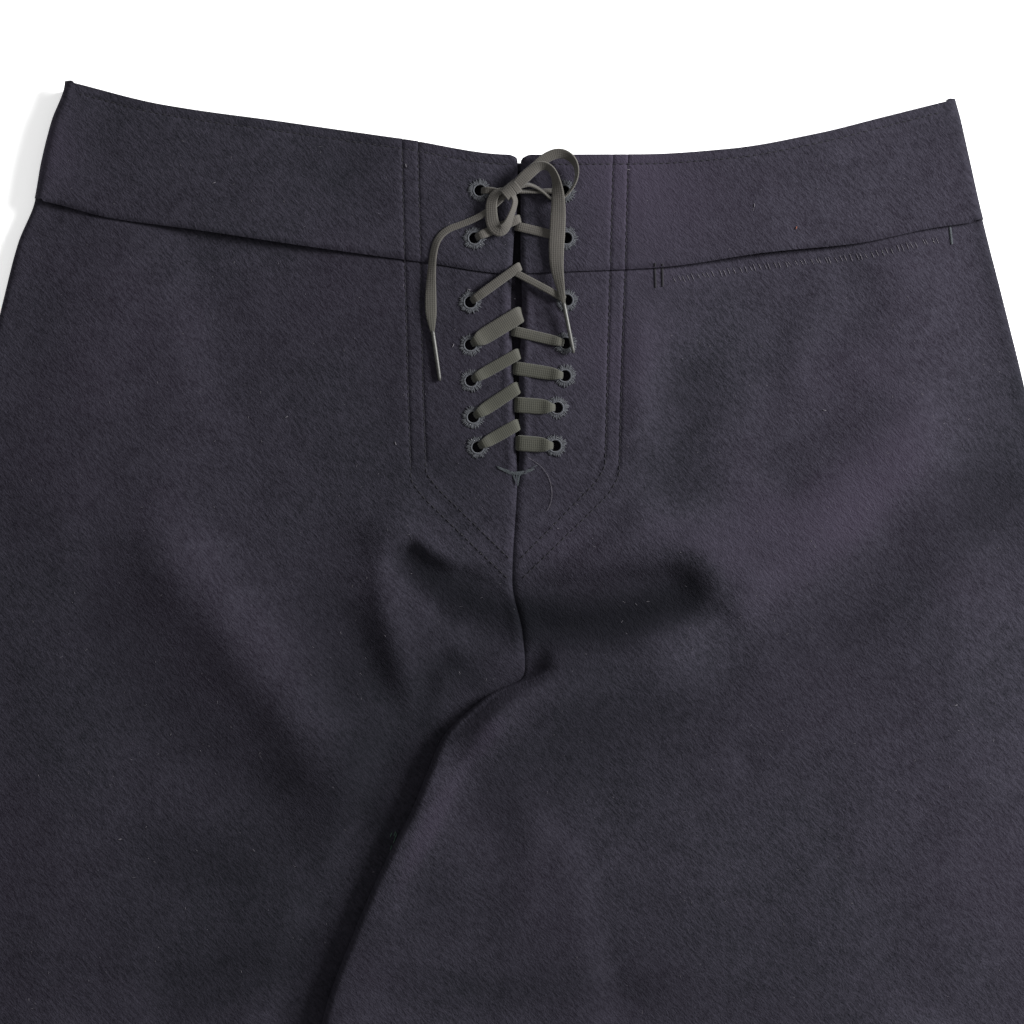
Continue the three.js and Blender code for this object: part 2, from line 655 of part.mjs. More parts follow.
// A stitched eyelet: a sleeve of thread in its hole, with a rim on the cloth.
function eyeletGeometry(thickness) {
  const { inner, sleeve, rim, rimThick, sides } = EYELET;
  const face = thickness + GAP;
  const profile = [
    new THREE.Vector2(inner, 0),
    new THREE.Vector2(sleeve, 0),
    new THREE.Vector2(sleeve, face),
    new THREE.Vector2(rim, face),
    new THREE.Vector2(rim - 0.6, face + rimThick),
    new THREE.Vector2(inner, face + rimThick),
    new THREE.Vector2(inner, 0),
  ];
  return new THREE.LatheGeometry(profile, sides).rotateX(Math.PI / 2);
}

// A cord with a four-sided section, carried along stations of {at, wide, thick}.
// Its width lies level, square to its way in plan.
function ribbon(stations) {
  const positions = [];
  let width = new THREE.Vector3(0, 1, 0);
  stations.forEach(({ at, wide, thick }, i) => {
    const next = stations[Math.min(stations.length - 1, i + 1)].at;
    const before = stations[Math.max(0, i - 1)].at;
    const along = next.clone().sub(before).normalize();
    const level = new THREE.Vector3(-along.y, along.x, 0).normalize();
    width = level.dot(width) < 0 ? level.negate() : level;
    const out = new THREE.Vector3().crossVectors(along, width);
    for (const [a, b] of [[-1, -1], [1, -1], [1, 1], [-1, 1]]) {
      const corner = at
        .clone()
        .addScaledVector(width, (a * wide) / 2)
        .addScaledVector(out, (b * thick) / 2);
      positions.push(corner.x, corner.y, corner.z);
    }
  });
  const index = [];
  const last = (stations.length - 1) * 4;
  for (let i = 0; i < last; i += 4) {
    for (let k = 0; k < 4; k += 1) {
      const a = i + k;
      const b = i + ((k + 1) % 4);
      index.push(a, b, b + 4, a, b + 4, a + 4);
    }
  }
  index.push(0, 2, 1, 0, 3, 2, last, last + 1, last + 2, last, last + 2, last + 3);
  return solidGeometry(positions, index);
}

// Stations along a smooth curve through places of [x, y, height, wide], flat side up.
function ribbonThrough(places, thick, steps) {
  const points = places.map(([x, y, z]) => new THREE.Vector3(x, y, z));
  const line = new THREE.CatmullRomCurve3(points, false, "centripetal");
  const stations = [];
  const count = (places.length - 1) * steps;
  for (let i = 0; i <= count; i += 1) {
    const t = i / count;
    const k = Math.min(places.length - 2, Math.floor(i / steps));
    const wide = mix(places[k][3], places[k + 1][3], i / steps - k);
    stations.push({ at: line.getPoint(t), wide, thick });
  }
  return ribbon(stations);
}

// The lacing's stations from under one eyelet to its drop through the opening and on below.
function eyeletStations(index, isLeft) {
  const row = EYELETS[index];
  const [x, y] = isLeft ? row.left : row.right;
  const inward = isLeft ? 1 : -1;
  const faceTop = BACK_UNDER + (index < BAND_ROWS ? BAND_CLOTH : CLOTH);
  const overRim = faceTop + 2 * GAP + EYELET.rimThick + LACE.thick / 2;
  const hole = [x + inward * 1.1, y];
  const station = (px, py, z, wide) => ({ at: new THREE.Vector3(px, py, z), wide, thick: LACE.thick });
  const stations = [
    station(...hole, LACE_HIDDEN, LACE.inHole),
    station(...hole, overRim, LACE.inHole),
  ];
  const drop = isLeft ? row.dropLeft : row.dropRight;
  if (drop === undefined) return stations;
  const end = [(middleLeft(drop) + middleRight(drop)) / 2, drop];
  const length = Math.hypot(end[0] - hole[0], end[1] - hole[1]);
  const along = (distance) => [mix(hole[0], end[0], distance / length), mix(hole[1], end[1], distance / length)];
  const onCloth = (py) => BACK_UNDER + (py > BAND_FOOT ? BAND_CLOTH : CLOTH) + GAP + LACE.thick / 2;
  const lip = onCloth(drop);
  stations.push(
    station(...along(2.4), overRim, LACE.inHole),
    station(...along(EYELET.rim), overRim, LACE.inSlit),
    station(...along(EYELET.rim + 2), Math.max(onCloth(y), lip), LACE.inSlit),
    station(...end, lip, LACE.inSlit),
    station(...end, LACE_HIDDEN, LACE.inSlit),
  );
  return stations;
}

// The whole lacing: from the bow down one side of the rows, across below them and up the other.
function lacingGeometry() {
  const climb = (startsLeft) => {
    const stations = [];
    for (let i = EYELETS.length - 1, isLeft = startsLeft; i >= 0; i -= 1, isLeft = !isLeft) {
      stations.push(...eyeletStations(i, isLeft));
    }
    const last = stations[stations.length - 1];
    const side = Math.sign(last.at.x - KNOT.x);
    stations.push({ ...last, at: last.at.clone().setX(KNOT.x + side * (KNOT.half + GAP)) });
    return stations;
  };
  return ribbon([...climb(true).reverse(), ...climb(false)]);
}

// The knot and bow over the top of the opening, as places of [x, y, height, wide]
const KNOT = { x: -1.4, y: 483.8, half: 5.4, tall: 3.4, high: 2.8 };
const KNOT_Z = BAND_TOP + GAP + KNOT.high;
const LOOP_Z = BAND_TOP + 2 * GAP + LACE.thick + LOOP.tall / 2;
const TAIL_Z = BAND_TOP + GAP + LACE.thick / 2;
const LOOP_LEFT = [
  [-8.8, 480.4, LOOP_Z, LOOP.wide],
  [-9.9, 475.4, LOOP_Z, LOOP.wide],
  [-10.2, 470.4, LOOP_Z, LOOP.wide],
  [-7.0, 465.2, LOOP_Z, LOOP.wide],
  [-2.4, 465.2, LOOP_Z, LOOP.wide],
  [0.6, 470.8, LOOP_Z, LOOP.wide],
  [1.2, 475.4, LOOP_Z, LOOP.wide],
  [0.8, 479.2, LOOP_Z, LOOP.wide],
];
const LOOP_RIGHT = [
  [1.8, 487.8, LOOP_Z, LOOP.wide],
  [7.0, 493.2, LOOP_Z + 0.6, LOOP.wide],
  [13.4, 499.6, LOOP_Z + 1.2, LOOP.wide],
  [22.0, 503.4, LOOP_Z + 1.2, LOOP.wide],
  [28.6, 500.0, LOOP_Z + 1.0, LOOP.wide],
  [30.0, 493.0, LOOP_Z + 0.4, LOOP.wide],
  [27.4, 484.6, LOOP_Z, LOOP.wide],
  [21.6, 477.4, LOOP_Z - 1.0, LOOP.wide],
  [14.0, 476.4, LOOP_Z - 1.2, LOOP.wide],
  [8.0, 478.2, LOOP_Z - 0.6, LOOP.wide],
  [4.4, 480.4, LOOP_Z, LOOP.wide],
];
const END_LEFT = [
  [-4.4, 479.4, TAIL_Z, 2.2],
  [-8.4, 476.2, TAIL_Z, 3.2],
  [-14.4, 472.6, TAIL_Z, 3.6],
  [-22.5, 469.3, TAIL_Z, 3.6],
  [-29.3, 467.1, TAIL_Z, 3.6],
  [-33.6, 462.4, TAIL_Z, 3.6],
  [-35.6, 456.0, TAIL_Z, 3.8],
  [-36.3, 447.0, TAIL_Z, 4.2],
  [-36.5, 436.5, TAIL_Z - 0.7, 5.4],
  [-36.2, 429.0, TAIL_Z - 1.1, 5.0],
  [-35.8, 422.0, TAIL_Z - 1.1, 2.2],
];
const END_RIGHT = [
  [6.4, 486.8, TAIL_Z + 3.4, 2.6],
  [10.4, 491.2, TAIL_Z + 4.4, 4.0],
  [15.2, 493.4, TAIL_Z + 4.8, 4.6],
  [19.2, 489.6, TAIL_Z + 4.8, 5.6],
  [20.8, 481.6, TAIL_Z + 4.6, 7.0],
  [20.6, 470.4, TAIL_Z + 3.4, LACE.width],
  [19.9, 458.1, TAIL_Z + 2.2, LACE.width],
  [20.2, 449.0, TAIL_Z + 1.4, 6.4],
  [21.6, 441.0, TAIL_Z + 1.2, 4.0],
  [23.0, 434.6, TAIL_Z + 1.3, 1.8],
];
// Stiff tips of the lace, from one end to the other
const TIP_LEFT = { from: [-35.7, 421.2, TAIL_Z - 1.0], to: [-32.4, 399.0, TAIL_Z - 1.0] };
const TIP_RIGHT = { from: [23.2, 433.8, TAIL_Z + 1.5], to: [27.7, 411.4, TAIL_Z + 0.1] };

function knotGeometry() {
  const ball = new THREE.SphereGeometry(1, 12, 8);
  ball.scale(KNOT.half, KNOT.tall, KNOT.high);
  return ball.translate(KNOT.x, KNOT.y, KNOT_Z);
}

function tipGeometry({ from, to }) {
  const start = new THREE.Vector3(...from);
  const end = new THREE.Vector3(...to);
  const along = end.clone().sub(start);
  const tip = new THREE.CylinderGeometry(TIP.radius, TIP.radius, along.length(), TIP.sides);
  tip.applyQuaternion(new THREE.Quaternion().setFromUnitVectors(new THREE.Vector3(0, 1, 0), along.normalize()));
  const centre = start.add(end).multiplyScalar(0.5);
  return tip.translate(centre.x, centre.y, centre.z);
}

// Finishes
const WOOL = { color: 0x2d2b35, roughness: 0.95, metalness: 0 };
const THREAD = { color: 0x4a4c52, roughness: 0.9, metalness: 0 };
const BRAID = { color: 0x57544e, roughness: 0.85, metalness: 0 };
const RESIN = { color: 0x15151a, roughness: 0.4, metalness: 0 };
const STIFF = { color: 0x4f4f4c, roughness: 0.5, metalness: 0 };

const trousers = new THREE.Group();

function add(name, geometry, finish) {
  const mesh = new THREE.Mesh(geometry, new THREE.MeshStandardMaterial(finish));
  mesh.name = name;
  trousers.add(mesh);
  return mesh;
}

const holes = (side, from, to) => EYELETS.slice(from, to).map((row) => row[side]);
const bandLeft = bandBack(sideLeft, middleLeft, 1);
const bandRight = bandBack(sideRight, middleRight, -1);
const frontLeft = [sideLeft, (y) => -rampEnd(y), (y) => -rampStart(y), () => -SEAM_HALF];
const frontRight = [() => SEAM_HALF, rampStart, rampEnd, sideRight];

add("leg_back_left", withEyeletHoles(legBackLeft(), holes("left", BAND_ROWS)), WOOL);
add("leg_back_right", withEyeletHoles(legBackRight(), holes("right", BAND_ROWS)), WOOL);
add("leg_front_left", legFrontLeft(), WOOL);
add("leg_front_right", legFrontRight(), WOOL);
add("waistband_back_left", withEyeletHoles(bandLeft, holes("left", 0, BAND_ROWS)), WOOL);
add("waistband_back_right", withEyeletHoles(bandRight, holes("right", 0, BAND_ROWS)), WOOL);
add("waistband_front_left", bandFront(frontLeft, [3, 2, 5]), WOOL);
add("waistband_front_right", bandFront(frontRight, [5, 2, 3]), WOOL);
add("gusset", gussetGeometry(), WOOL);
add("front_flap", flapGeometry(), WOOL);

buttonPlaces().forEach(([x, y], i) => {
  add(`button_${i + 1}`, buttonGeometry(), RESIN).position.set(x, y, 0);
});

EYELETS.forEach((row, i) => {
  for (const side of ["left", "right"]) {
    const geometry = eyeletGeometry(i < BAND_ROWS ? BAND_CLOTH : CLOTH);
    add(`eyelet_${side}_${i + 1}`, geometry, THREAD).position.set(...row[side], BACK_UNDER);
  }
});

add("lacing", lacingGeometry(), BRAID);
add("lace_knot", knotGeometry(), BRAID);
add("lace_loop_left", ribbonThrough(LOOP_LEFT, LOOP.tall, 2), BRAID);
add("lace_loop_right", ribbonThrough(LOOP_RIGHT, LOOP.tall, 2), BRAID);
add("lace_end_left", ribbonThrough(END_LEFT, LACE.thick, 2), BRAID);
add("lace_end_right", ribbonThrough(END_RIGHT, LACE.thick, 2), BRAID);
add("lace_tip_left", tipGeometry(TIP_LEFT), STIFF);
add("lace_tip_right", tipGeometry(TIP_RIGHT), STIFF);

export default trousers;
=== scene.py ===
import logging
import math
from dataclasses import dataclass, field
from enum import Enum
from typing import Any, Callable, Sequence

import bmesh
import bpy
import numpy as np
from mathutils import Matrix, Vector


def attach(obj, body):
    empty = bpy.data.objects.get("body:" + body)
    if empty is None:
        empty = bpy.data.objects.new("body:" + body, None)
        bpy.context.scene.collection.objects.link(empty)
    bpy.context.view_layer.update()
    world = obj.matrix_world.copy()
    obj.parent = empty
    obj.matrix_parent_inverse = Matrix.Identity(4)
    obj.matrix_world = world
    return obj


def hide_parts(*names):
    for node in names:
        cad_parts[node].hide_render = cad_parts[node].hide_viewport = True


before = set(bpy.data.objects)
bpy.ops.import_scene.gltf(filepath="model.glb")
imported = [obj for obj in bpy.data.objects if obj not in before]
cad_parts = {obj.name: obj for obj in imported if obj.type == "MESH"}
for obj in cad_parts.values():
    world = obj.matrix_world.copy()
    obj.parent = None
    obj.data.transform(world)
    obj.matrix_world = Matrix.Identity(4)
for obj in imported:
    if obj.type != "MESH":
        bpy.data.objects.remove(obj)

LOG = logging.getLogger("sailor_trousers")
MM = 0.001
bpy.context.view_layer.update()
Array = np.ndarray
Form = bmesh.types.BMesh
Thing = bpy.types.Object
Material = bpy.types.Material
Rows = Sequence[Sequence[float]]
Reader = Callable[[Array], Array]
Colour = tuple[float, float, float, float]
Point = tuple[float, float]


class Side(Enum):
    """The side of the centre back that a piece lies on, as seen from above."""

    LEFT = "left"
    RIGHT = "right"

    @property
    def outward(self) -> int:
        """The sign of x towards this side."""
        return -1 if self is Side.LEFT else 1


class Slot(Enum):
    """The record's material slots."""

    WOOL = "wool"
    BUTTON = "button"
    EYELET = "eyelet_thread"
    LACE = "lace"
    TIP = "lace_tip"


def smooth(value: Array | float) -> Array:
    """A soft step from 0 to 1."""
    share = np.clip(value, 0.0, 1.0)
    return share * share * (3.0 - 2.0 * share)


def mix(low: Any, high: Any, share: Any) -> Any:
    """The value that lies the given share of the way from low to high."""
    return low + (high - low) * share


def holes(side: Side) -> list[Point]:
    """The middles of one side's eyelets, from the waist down."""
    return [row[side is Side.RIGHT] for row in EYELETS]


class Track:
    """A smooth curve through the rows of a short table that never swings past them."""

    def __init__(self, at: Sequence[float], values: Sequence[float]) -> None:
        """Sorts the rows and works out the slope at each.

        Args:
            at: Where each row stands.
            values: What each row holds.
        """
        order = np.argsort(at)
        self.at = np.array(at, float)[order]
        self.values = np.array(values, float)[order]
        steps = np.diff(self.values) / np.diff(self.at)
        self.slopes = np.zeros(len(self.at))
        before, after = steps[:-1], steps[1:]
        same = before * after > 0
        total = np.where(same, before + after, 1.0)
        self.slopes[1:-1] = np.where(same, 2 * before * after / total, 0.0)

    def __call__(self, where: Array | float) -> Array:
        """Reads the curve.

        Args:
            where: Places to read it at.

        Returns:
            Its values there.
        """
        clipped = np.clip(where, self.at[0], self.at[-1])
        i = np.clip(np.searchsorted(self.at, clipped) - 1, 0, len(self.at) - 2)
        span = self.at[i + 1] - self.at[i]
        t = (clipped - self.at[i]) / span
        return (
            self.values[i] * (1 + 2 * t) * (1 - t) ** 2
            + self.values[i + 1] * t**2 * (3 - 2 * t)
            + self.slopes[i] * span * t * (1 - t) ** 2
            - self.slopes[i + 1] * span * t**2 * (1 - t)
        )


def tracks(rows: Rows) -> list[Track]:
    """Tracks of every column of a table after its first, which says where each row stands."""
    columns = list(zip(*rows))
    return [Track(columns[0], column) for column in columns[1:]]


def soft_top(one: Array, other: Array, blend: float = 2.4) -> Array:
    """The higher of two surfaces, with their meeting eased over a height of blend."""
    near = np.clip(1 - np.abs(one - other) / blend, 0, 1)
    return np.maximum(one, other) + near**2 * blend / 4


def distance_to(line: Array, x: Array, y: Array) -> tuple[Array, Array]:
    """How far places are from a bent line.

    Args:
        line: The line's corners, as rows of x and y.
        x: Places across.
        y: Places along.

    Returns:
        The distance to the line, and the share of its length where it is nearest.
    """
    nearest = np.full(np.shape(x), np.inf)
    along = np.zeros(np.shape(x))
    count = len(line) - 1
    for i in range(count):
        a, way = line[i], line[i + 1] - line[i]
        t = np.clip(((x - a[0]) * way[0] + (y - a[1]) * way[1]) / (way @ way), 0, 1)
        distance = np.hypot(x - a[0] - t * way[0], y - a[1] - t * way[1])
        closer = distance < nearest
        nearest = np.where(closer, distance, nearest)
        along = np.where(closer, (i + t) / count, along)
    return nearest, along


@dataclass(frozen=True)
class Fold:
    """A ridge or, with a rise below nought, a valley along a bent line of three points."""

    start: Point
    bend: Point
    end: Point
    rise: float
    width: float
    taper: float = 4.0
    steps: int = 14

    def line(self) -> Array:
        """Points along the fold's bent line."""
        t = np.linspace(0, 1, self.steps + 1)[:, None]
        a, b, c = (np.array(p, float) for p in (self.start, self.bend, self.end))
        return (1 - t) ** 2 * a + 2 * t * (1 - t) * b + t**2 * c

    def lift(self, x: Array, y: Array) -> Array:
        """How far the fold lifts the cloth at places x, y."""
        nearest, along = distance_to(self.line(), x, y)
        taper = smooth(along * self.taper) * smooth((1 - along) * self.taper)
        return self.rise * taper * np.exp(-((nearest / self.width) ** 2))


@dataclass(frozen=True)
class Patch:
    """A round patch of painted shade, or of painted light with an amount below nought."""

    across: float
    along: float
    reach: float
    amount: float

    def shade(self, x: Array, y: Array) -> Array:
        """How much darker it makes places x, y."""
        return self.amount * np.exp(-((x - self.across) ** 2 + (y - self.along) ** 2) / self.reach**2)


@dataclass(frozen=True)
class Groove:
    """A dent that is deepest at its middle and fades over its width."""

    depth: float
    width: float

    def at(self, distance: Array) -> Array:
        """Its depth at a distance from its middle."""
        return self.depth * np.exp(-((distance / self.width) ** 2))


@dataclass(frozen=True)
class FlapRoom:
    """The room that the buttoned flap takes under the front panels."""

    top: float = 486.0
    foot: float = 312.0
    half_top: float = 112.0
    half_foot: float = 92.0
    clear: float = 6.0
    ramp: float = 30.0


@dataclass(frozen=True)
class Press:
    """What seams and rows of stitching do to the cloth."""

    facing: Groove = Groove(0.42, 0.85)
    waist: Groove = Groove(0.34, 0.9)
    pocket: Groove = Groove(0.24, 0.8)
    pocket_rows: Point = (5.6, 7.4)
    mouth_ease: float = 4.0
    leg_reach: float = 2.2
    leg_depth: float = 0.8
    mouth_reach: float = 2.6
    mouth_depth: float = 1.25
    band_reach: float = 1.8
    band_depth: float = 0.7


@dataclass(frozen=True)
class Easing:
    """Over what widths a leg's height eases from its edges to its full loft and folds."""

    loft: float = 55.0
    middle: float = 80.0
    facing: float = 42.0
    facing_foot: float = 300.0
    facing_fade: float = 40.0
    side_folds: float = 26.0
    middle_folds: float = 16.0
    small_folds: float = 12.0


@dataclass(frozen=True)
class Shading:
    """How strongly folds, turned edges and the rolled leg show as shade."""

    valley: float = -0.22
    ridge: float = -0.06
    most_folded: float = 0.3
    # painted shadow of the rolled right leg on the left leg, with where it starts and how it eases in
    roll: Groove = Groove(0.1, 44.0)
    roll_start: float = 266.0
    roll_ease: float = 40.0
    # painted shade along the right leg's turned outer edge
    painted_rim_shade: Groove = Groove(0.9, 4.5)
    deepest: float = 1.3


def folds_of(rows: Rows) -> tuple[Fold, ...]:
    """Folds from rows of six numbers for the bent line, then rise, width and, if need be, taper."""
    return tuple(Fold(r[0:2], r[2:4], r[4:6], *r[6:]) for r in rows)


@dataclass(frozen=True)
class Layers:
    """Thicknesses of the cloth and the heights that follow from them."""

    cloth: float = 1.6
    band: float = 3.0
    gusset: float = 1.2
    gap: float = 0.3
    side_roll: float = 2.4
    band_roll: float = 3.2
    turn_slack: float = 0.25
    button: float = 2.5
    lace: float = 1.0
    leg_loft: float = 3.5
    crossed: float = 5.5
    top: float = 535.0

    @property
    def flap_under(self) -> float:
        """Height of the front flap's lower side."""
        return self.button + self.gap

    @property
    def front_lift(self) -> float:
        """How far the front panels stand off over the flap."""
        return self.flap_under + self.cloth + self.gap

    @property
    def gusset_under(self) -> float:
        """Height of the underlay's lower side."""
        return self.front_lift + self.band + self.gap

    @property
    def lace_hidden(self) -> float:
        """Height of the lace's middle where it runs under the cloth."""
        return self.gusset_under + self.gusset + self.gap + self.lace / 2

    @property
    def back_under(self) -> float:
        """Height of the back's lower side beside the opening."""
        return self.lace_hidden + self.lace / 2 + self.gap

    @property
    def side_middle(self) -> float:
        """Height of the upper layer's middle beside a leg's side seam."""
        return self.cloth * (1 + self.turn_slack) + self.gap + self.side_roll

    @property
    def band_side_middle(self) -> float:
        """The same for the waistband."""
        return self.band * (1 + self.turn_slack) + self.gap + self.band_roll

    @property
    def crossing_lift(self) -> float:
        """How far the right leg's lower layer stands off where it lies on the left leg."""
        return self.crossed + self.cloth / 2 + self.gap


# Outer edges, as y, left x and right x
SIDES = (
    (535, -202.5, 199.5), (516, -208.8, 203.6), (498, -213.3, 207.6), (480, -216.6, 211.6),
    (462, -223.9, 216.0), (437, -230.4, 222.4), (382, -243.0, 235.4), (318, -252.0, 245.7),
    (255, -256.1, 250.2), (188, -257.4, 249.3), (110, -258.3, 242.0), (0, -261.0, 236.0),
    (-120, -268.0, 238.0), (-300, -284.0, 268.0), (-535, -320.0, 320.0),
)
# Inner edges, as y, left leg's x, right leg's x and the x where the right leg's turned edge ends
MIDDLE = (
    (535, 2.2, 4.6, 4.6), (480, 1.8, 4.4, 4.4), (462, 0.2, 4.4, 4.4), (431, -0.9, 4.9, 4.9),
    (400, 0.2, 3.6, 3.6), (368, 1.4, 3.8, 3.8), (354, 2.2, 2.7, 2.7), (309, 0.0, 0.5, 0.5),
    (286, 4.5, 5.0, 5.0), (270, 5.7, 6.2, 6.2), (254, 4.6, -15.0, 4.9), (238, 2.0, -31.5, 2.3),
    (222, -1.6, -38.5, -1.3), (205, -5.0, -45.5, -4.7), (188, 14.0, -54.5, -20.0),
    (150, 22.0, -71.5, -41.0), (110, 25.0, -85.5, -55.0), (60, 26.0, -92.0, -64.0),
    (0, 24.0, -86.0, -60.0), (-120, 16.0, -50.0, -28.0), (-300, -6.0, -12.0, 6.0),
    (-535, -15.0, 15.0, 21.0),
)
# The waist's edge and its seam, as x and y
WAIST_EDGE = (
    (-214, 537), (-202, 534.8), (-158, 523.8), (-104, 515.7), (-50, 508), (0, 500.8), (58, 501),
    (98, 503.5), (138, 510.7), (166, 517.9), (202, 527.0), (214, 530.0),
)
WAIST_SEAM = (
    (-222, 482.0), (-180, 473.0), (-144, 467.9), (-95, 460.5), (-40, 453.0), (0, 447.8),
    (22, 448.6), (64, 450.4), (115, 457.4), (155, 461.6), (195, 469.6), (222, 472.4),
)
# Heights of the upper layer's middle at the inner edges, as y, left leg and right leg
MIDDLE_HEIGHTS = (
    (535, 11.6, 11.6), (350, 11.6, 11.6), (326, 11.0, 11.0), (306, 8.0, 8.0), (290, 5.2, 5.3),
    (279, 5.0, 5.4), (270, 5.1, 7.0), (262, 5.3, 10.2), (252, 5.5, 13.4), (0, 5.5, 14.6),
    (-120, 5.5, 14.2), (-240, 5.5, 12.8), (-335, 4.7, 11.4), (-420, 4.7, 6.0), (-535, 4.7, 4.4),
)
# Folds that the solids have too
FOLDS = folds_of((
    (-206, 330, -150, 240, -76, 172, -1.8, 18),
    (-178, 350, -112, 272, -62, 196, 5.4, 18),
    (-82, 340, -86, 290, -62, 236, -1.8, 15),
    (-58, 346, -60, 300, -40, 262, 1.4, 9),
    (-66, 346, 10, 304, 104, 338, 3.2, 17),
    (-34, 306, 6, 283, 94, 311, -6.0, 12.5, 7.0),
    (-52, 327, -36, 306, 0, 299, -4.0, 7.0, 7.0),
    (-34, 236, 14, 264, 98, 286, 6.5, 18),
    (50, 298, 128, 336, 210, 396, 5.0, 21),
    (110, 266, 170, 306, 238, 372, -2.2, 17),
    (72, 420, 88, 372, 60, 338, -2.2, 15),
    (50, 440, 58, 390, 44, 350, 1.6, 12),
    (172, 400, 150, 366, 104, 348, -1.5, 16),
    (14, 214, 11, 176, 2, 140, 1.4, 5),
    (0, 214, -1, 176, -8, 140, -1.0, 6),
    (-186, 178, -127, 186, -66, 172, -1.6, 16),
    (-176, 118, -122, 130, -72, 150, -2.0, 13),
    (-80, 122, 0, 130, 90, 120, -1.2, 9),
    (196, 120, 150, 70, 110, 0, 3.5, 28),
    (-216, 130, -176, 10, -150, -120, 4.5, 24),
    (-96, 60, -120, -90, -96, -260, 4.0, 22),
    (-40, 40, 20, -110, 70, -250, 5.0, 22),
    (190, 20, 176, -130, 150, -300, 4.5, 24),
    (-232, -190, -222, -330, -242, -470, 4.0, 22),
    (-90, -260, -96, -390, -76, -510, 3.5, 20),
    (96, -240, 92, -380, 112, -510, 4.0, 22),
    (226, -260, 238, -390, 256, -500, 3.5, 20),
))
# Folds too small for the solids
SMALL_FOLDS = folds_of((
    (-60, 328, -44, 300, -20, 290, -1.6, 5),
    (-37, 278, -24, 268, -8, 256, -1.7, 5.5),
    (-46, 300, -34, 290, -20, 280, 0.9, 5),
    (-35, 279, -39, 256, -39, 234, -1.5, 6.0),
    (-83, 318, -70, 284, -42, 230, -1.3, 7.0),
    (-64, 318, -56, 290, -46, 256, 1.2, 6),
    (98, 288, 110, 300, 108, 318, 1.2, 10),
    (98, 238, 106, 228, 110, 216, -1.0, 6),
    (-190, 300, -150, 262, -110, 214, 1.0, 12),
    (150, 452, 120, 420, 128, 384, 0.9, 9),
    (-150, 470, -128, 420, -134, 380, -0.9, 10),
))

# Patches of painted shade and painted light: x, y, reach and how much darker, or lighter below nought
PAINTED_PATCHES = tuple(Patch(*row) for row in (
    (22, 242, 36, 0.80), (30, 270, 22, 0.40), (58, 266, 24, 0.50), (96, 250, 42, 0.36),
    (-92, 268, 38, 0.52), (-98, 240, 32, 0.25), (-68, 226, 20, 1.0), (-74, 204, 15, 0.6),
    (-44, 274, 24, 0.60), (-14, 266, 18, 0.50), (-10, 212, 22, 0.45), (-46, 242, 15, 0.35),
    (-38, 168, 18, 0.40), (-165, 225, 60, 0.14), (-190, 262, 44, 0.22), (-130, 310, 30, 0.2),
    (-130, 128, 70, 0.38), (-105, 166, 38, 0.20), (0, 150, 56, 0.30), (66, 118, 60, 0.24),
    (130, 110, 70, 0.14), (-28, 356, 36, 0.42), (-66, 410, 56, 0.22), (-22, 430, 36, 0.2),
    (-70, 499, 24, 0.45), (46, 322, 22, 0.20), (226, 352, 44, 0.36), (172, 262, 38, 0.20),
    (222, 150, 50, 0.16), (-192, 340, 60, 0.20), (-196, 150, 50, 0.15), (50, 500, 24, -0.50),
    (62, 470, 36, -0.34), (46, 412, 24, -0.34), (158, 384, 32, -0.2), (150, 326, 28, -0.08),
    (-214, 504, 18, -0.4),
))
# Strokes of shade along the creases and of light along the crests: folds whose rise is how much
STROKES = folds_of((
    (-54, 328, -26, 295, 28, 289, 1.2, 7.5, 3.5),
    (-6, 297, 44, 280, 99, 313, 1.25, 11.5, 6.0),
    (-37, 278, -24, 268, -8, 256, 0.5, 5.5, 3.0),
    (-35, 279, -39, 256, -39, 234, 0.45, 6.0, 3.0),
    (-83, 318, -70, 284, -42, 230, 0.3, 7.5, 3.0),
    (-66, 216, -60, 202, -56, 184, 0.35, 5, 4.0),
    (28, 252, 96, 272, 206, 380, -0.2, 11, 4.0),
    (6, 259, -37, 212, -59, 146, -0.6, 7, 5.0),
))

# The rows of stitching beside the opening, from the waist down to the seat seam
FACING = {
    (Side.LEFT, 0): (
        (-49.5, 508), (-48.2, 452.7), (-46.8, 399.6), (-45.5, 359.1), (-39.6, 351.4), (-1.8, 315)),
    (Side.LEFT, 1): (
        (-42.3, 508), (-41, 452.7), (-40.1, 399.6), (-38.7, 362.7), (-33.3, 355.5), (-0.9, 324)),
    (Side.RIGHT, 0): (
        (52.2, 502), (50.9, 452.7), (49.1, 399.6), (48.2, 361.3), (43.2, 352.8), (4.5, 315)),
    (Side.RIGHT, 1): (
        (45.5, 502), (44.1, 452.7), (42.8, 399.6), (41.9, 365.8), (38.3, 359.1), (3.6, 324)),
}
FACING_FOOT = 362.0
# The middles of the eyelets' holes, left and right, from the waist down
EYELETS = (
    ((-14.5, 484.6), (23.4, 484.2)), ((-16.9, 463.2), (24.4, 463.2)), ((-18.8, 434.5), (24.6, 435.4)),
    ((-18.8, 415.3), (24.1, 416.0)), ((-18.5, 399.2), (23.8, 401.4)), ((-17.5, 382.8), (20.3, 387.0)),
    ((-15.5, 369.3), (19.4, 369.9)),
)
BAND_ROWS = 2  # rows of eyelets in the waistband
POCKET = (65.0, 196.0)  # where the pocket mouth begins and ends along the waist seam
# How closely the legs' rows lie from the waist down, as the level each pitch ends at and the pitch
BACK_LEVELS = ((456, 0.7), (448, 1.2), (110, 2.2), (60, 4.0), (-535, 8.5))
FRONT_LEVELS = ((110, 5.0), (-535, 11.0))
WAIST_ROW = 4.4  # from the waist's edge down to its row of stitching
FACING_CLEAR = 3.5  # from a row of the facing's stitching to the nearest column that is set by it


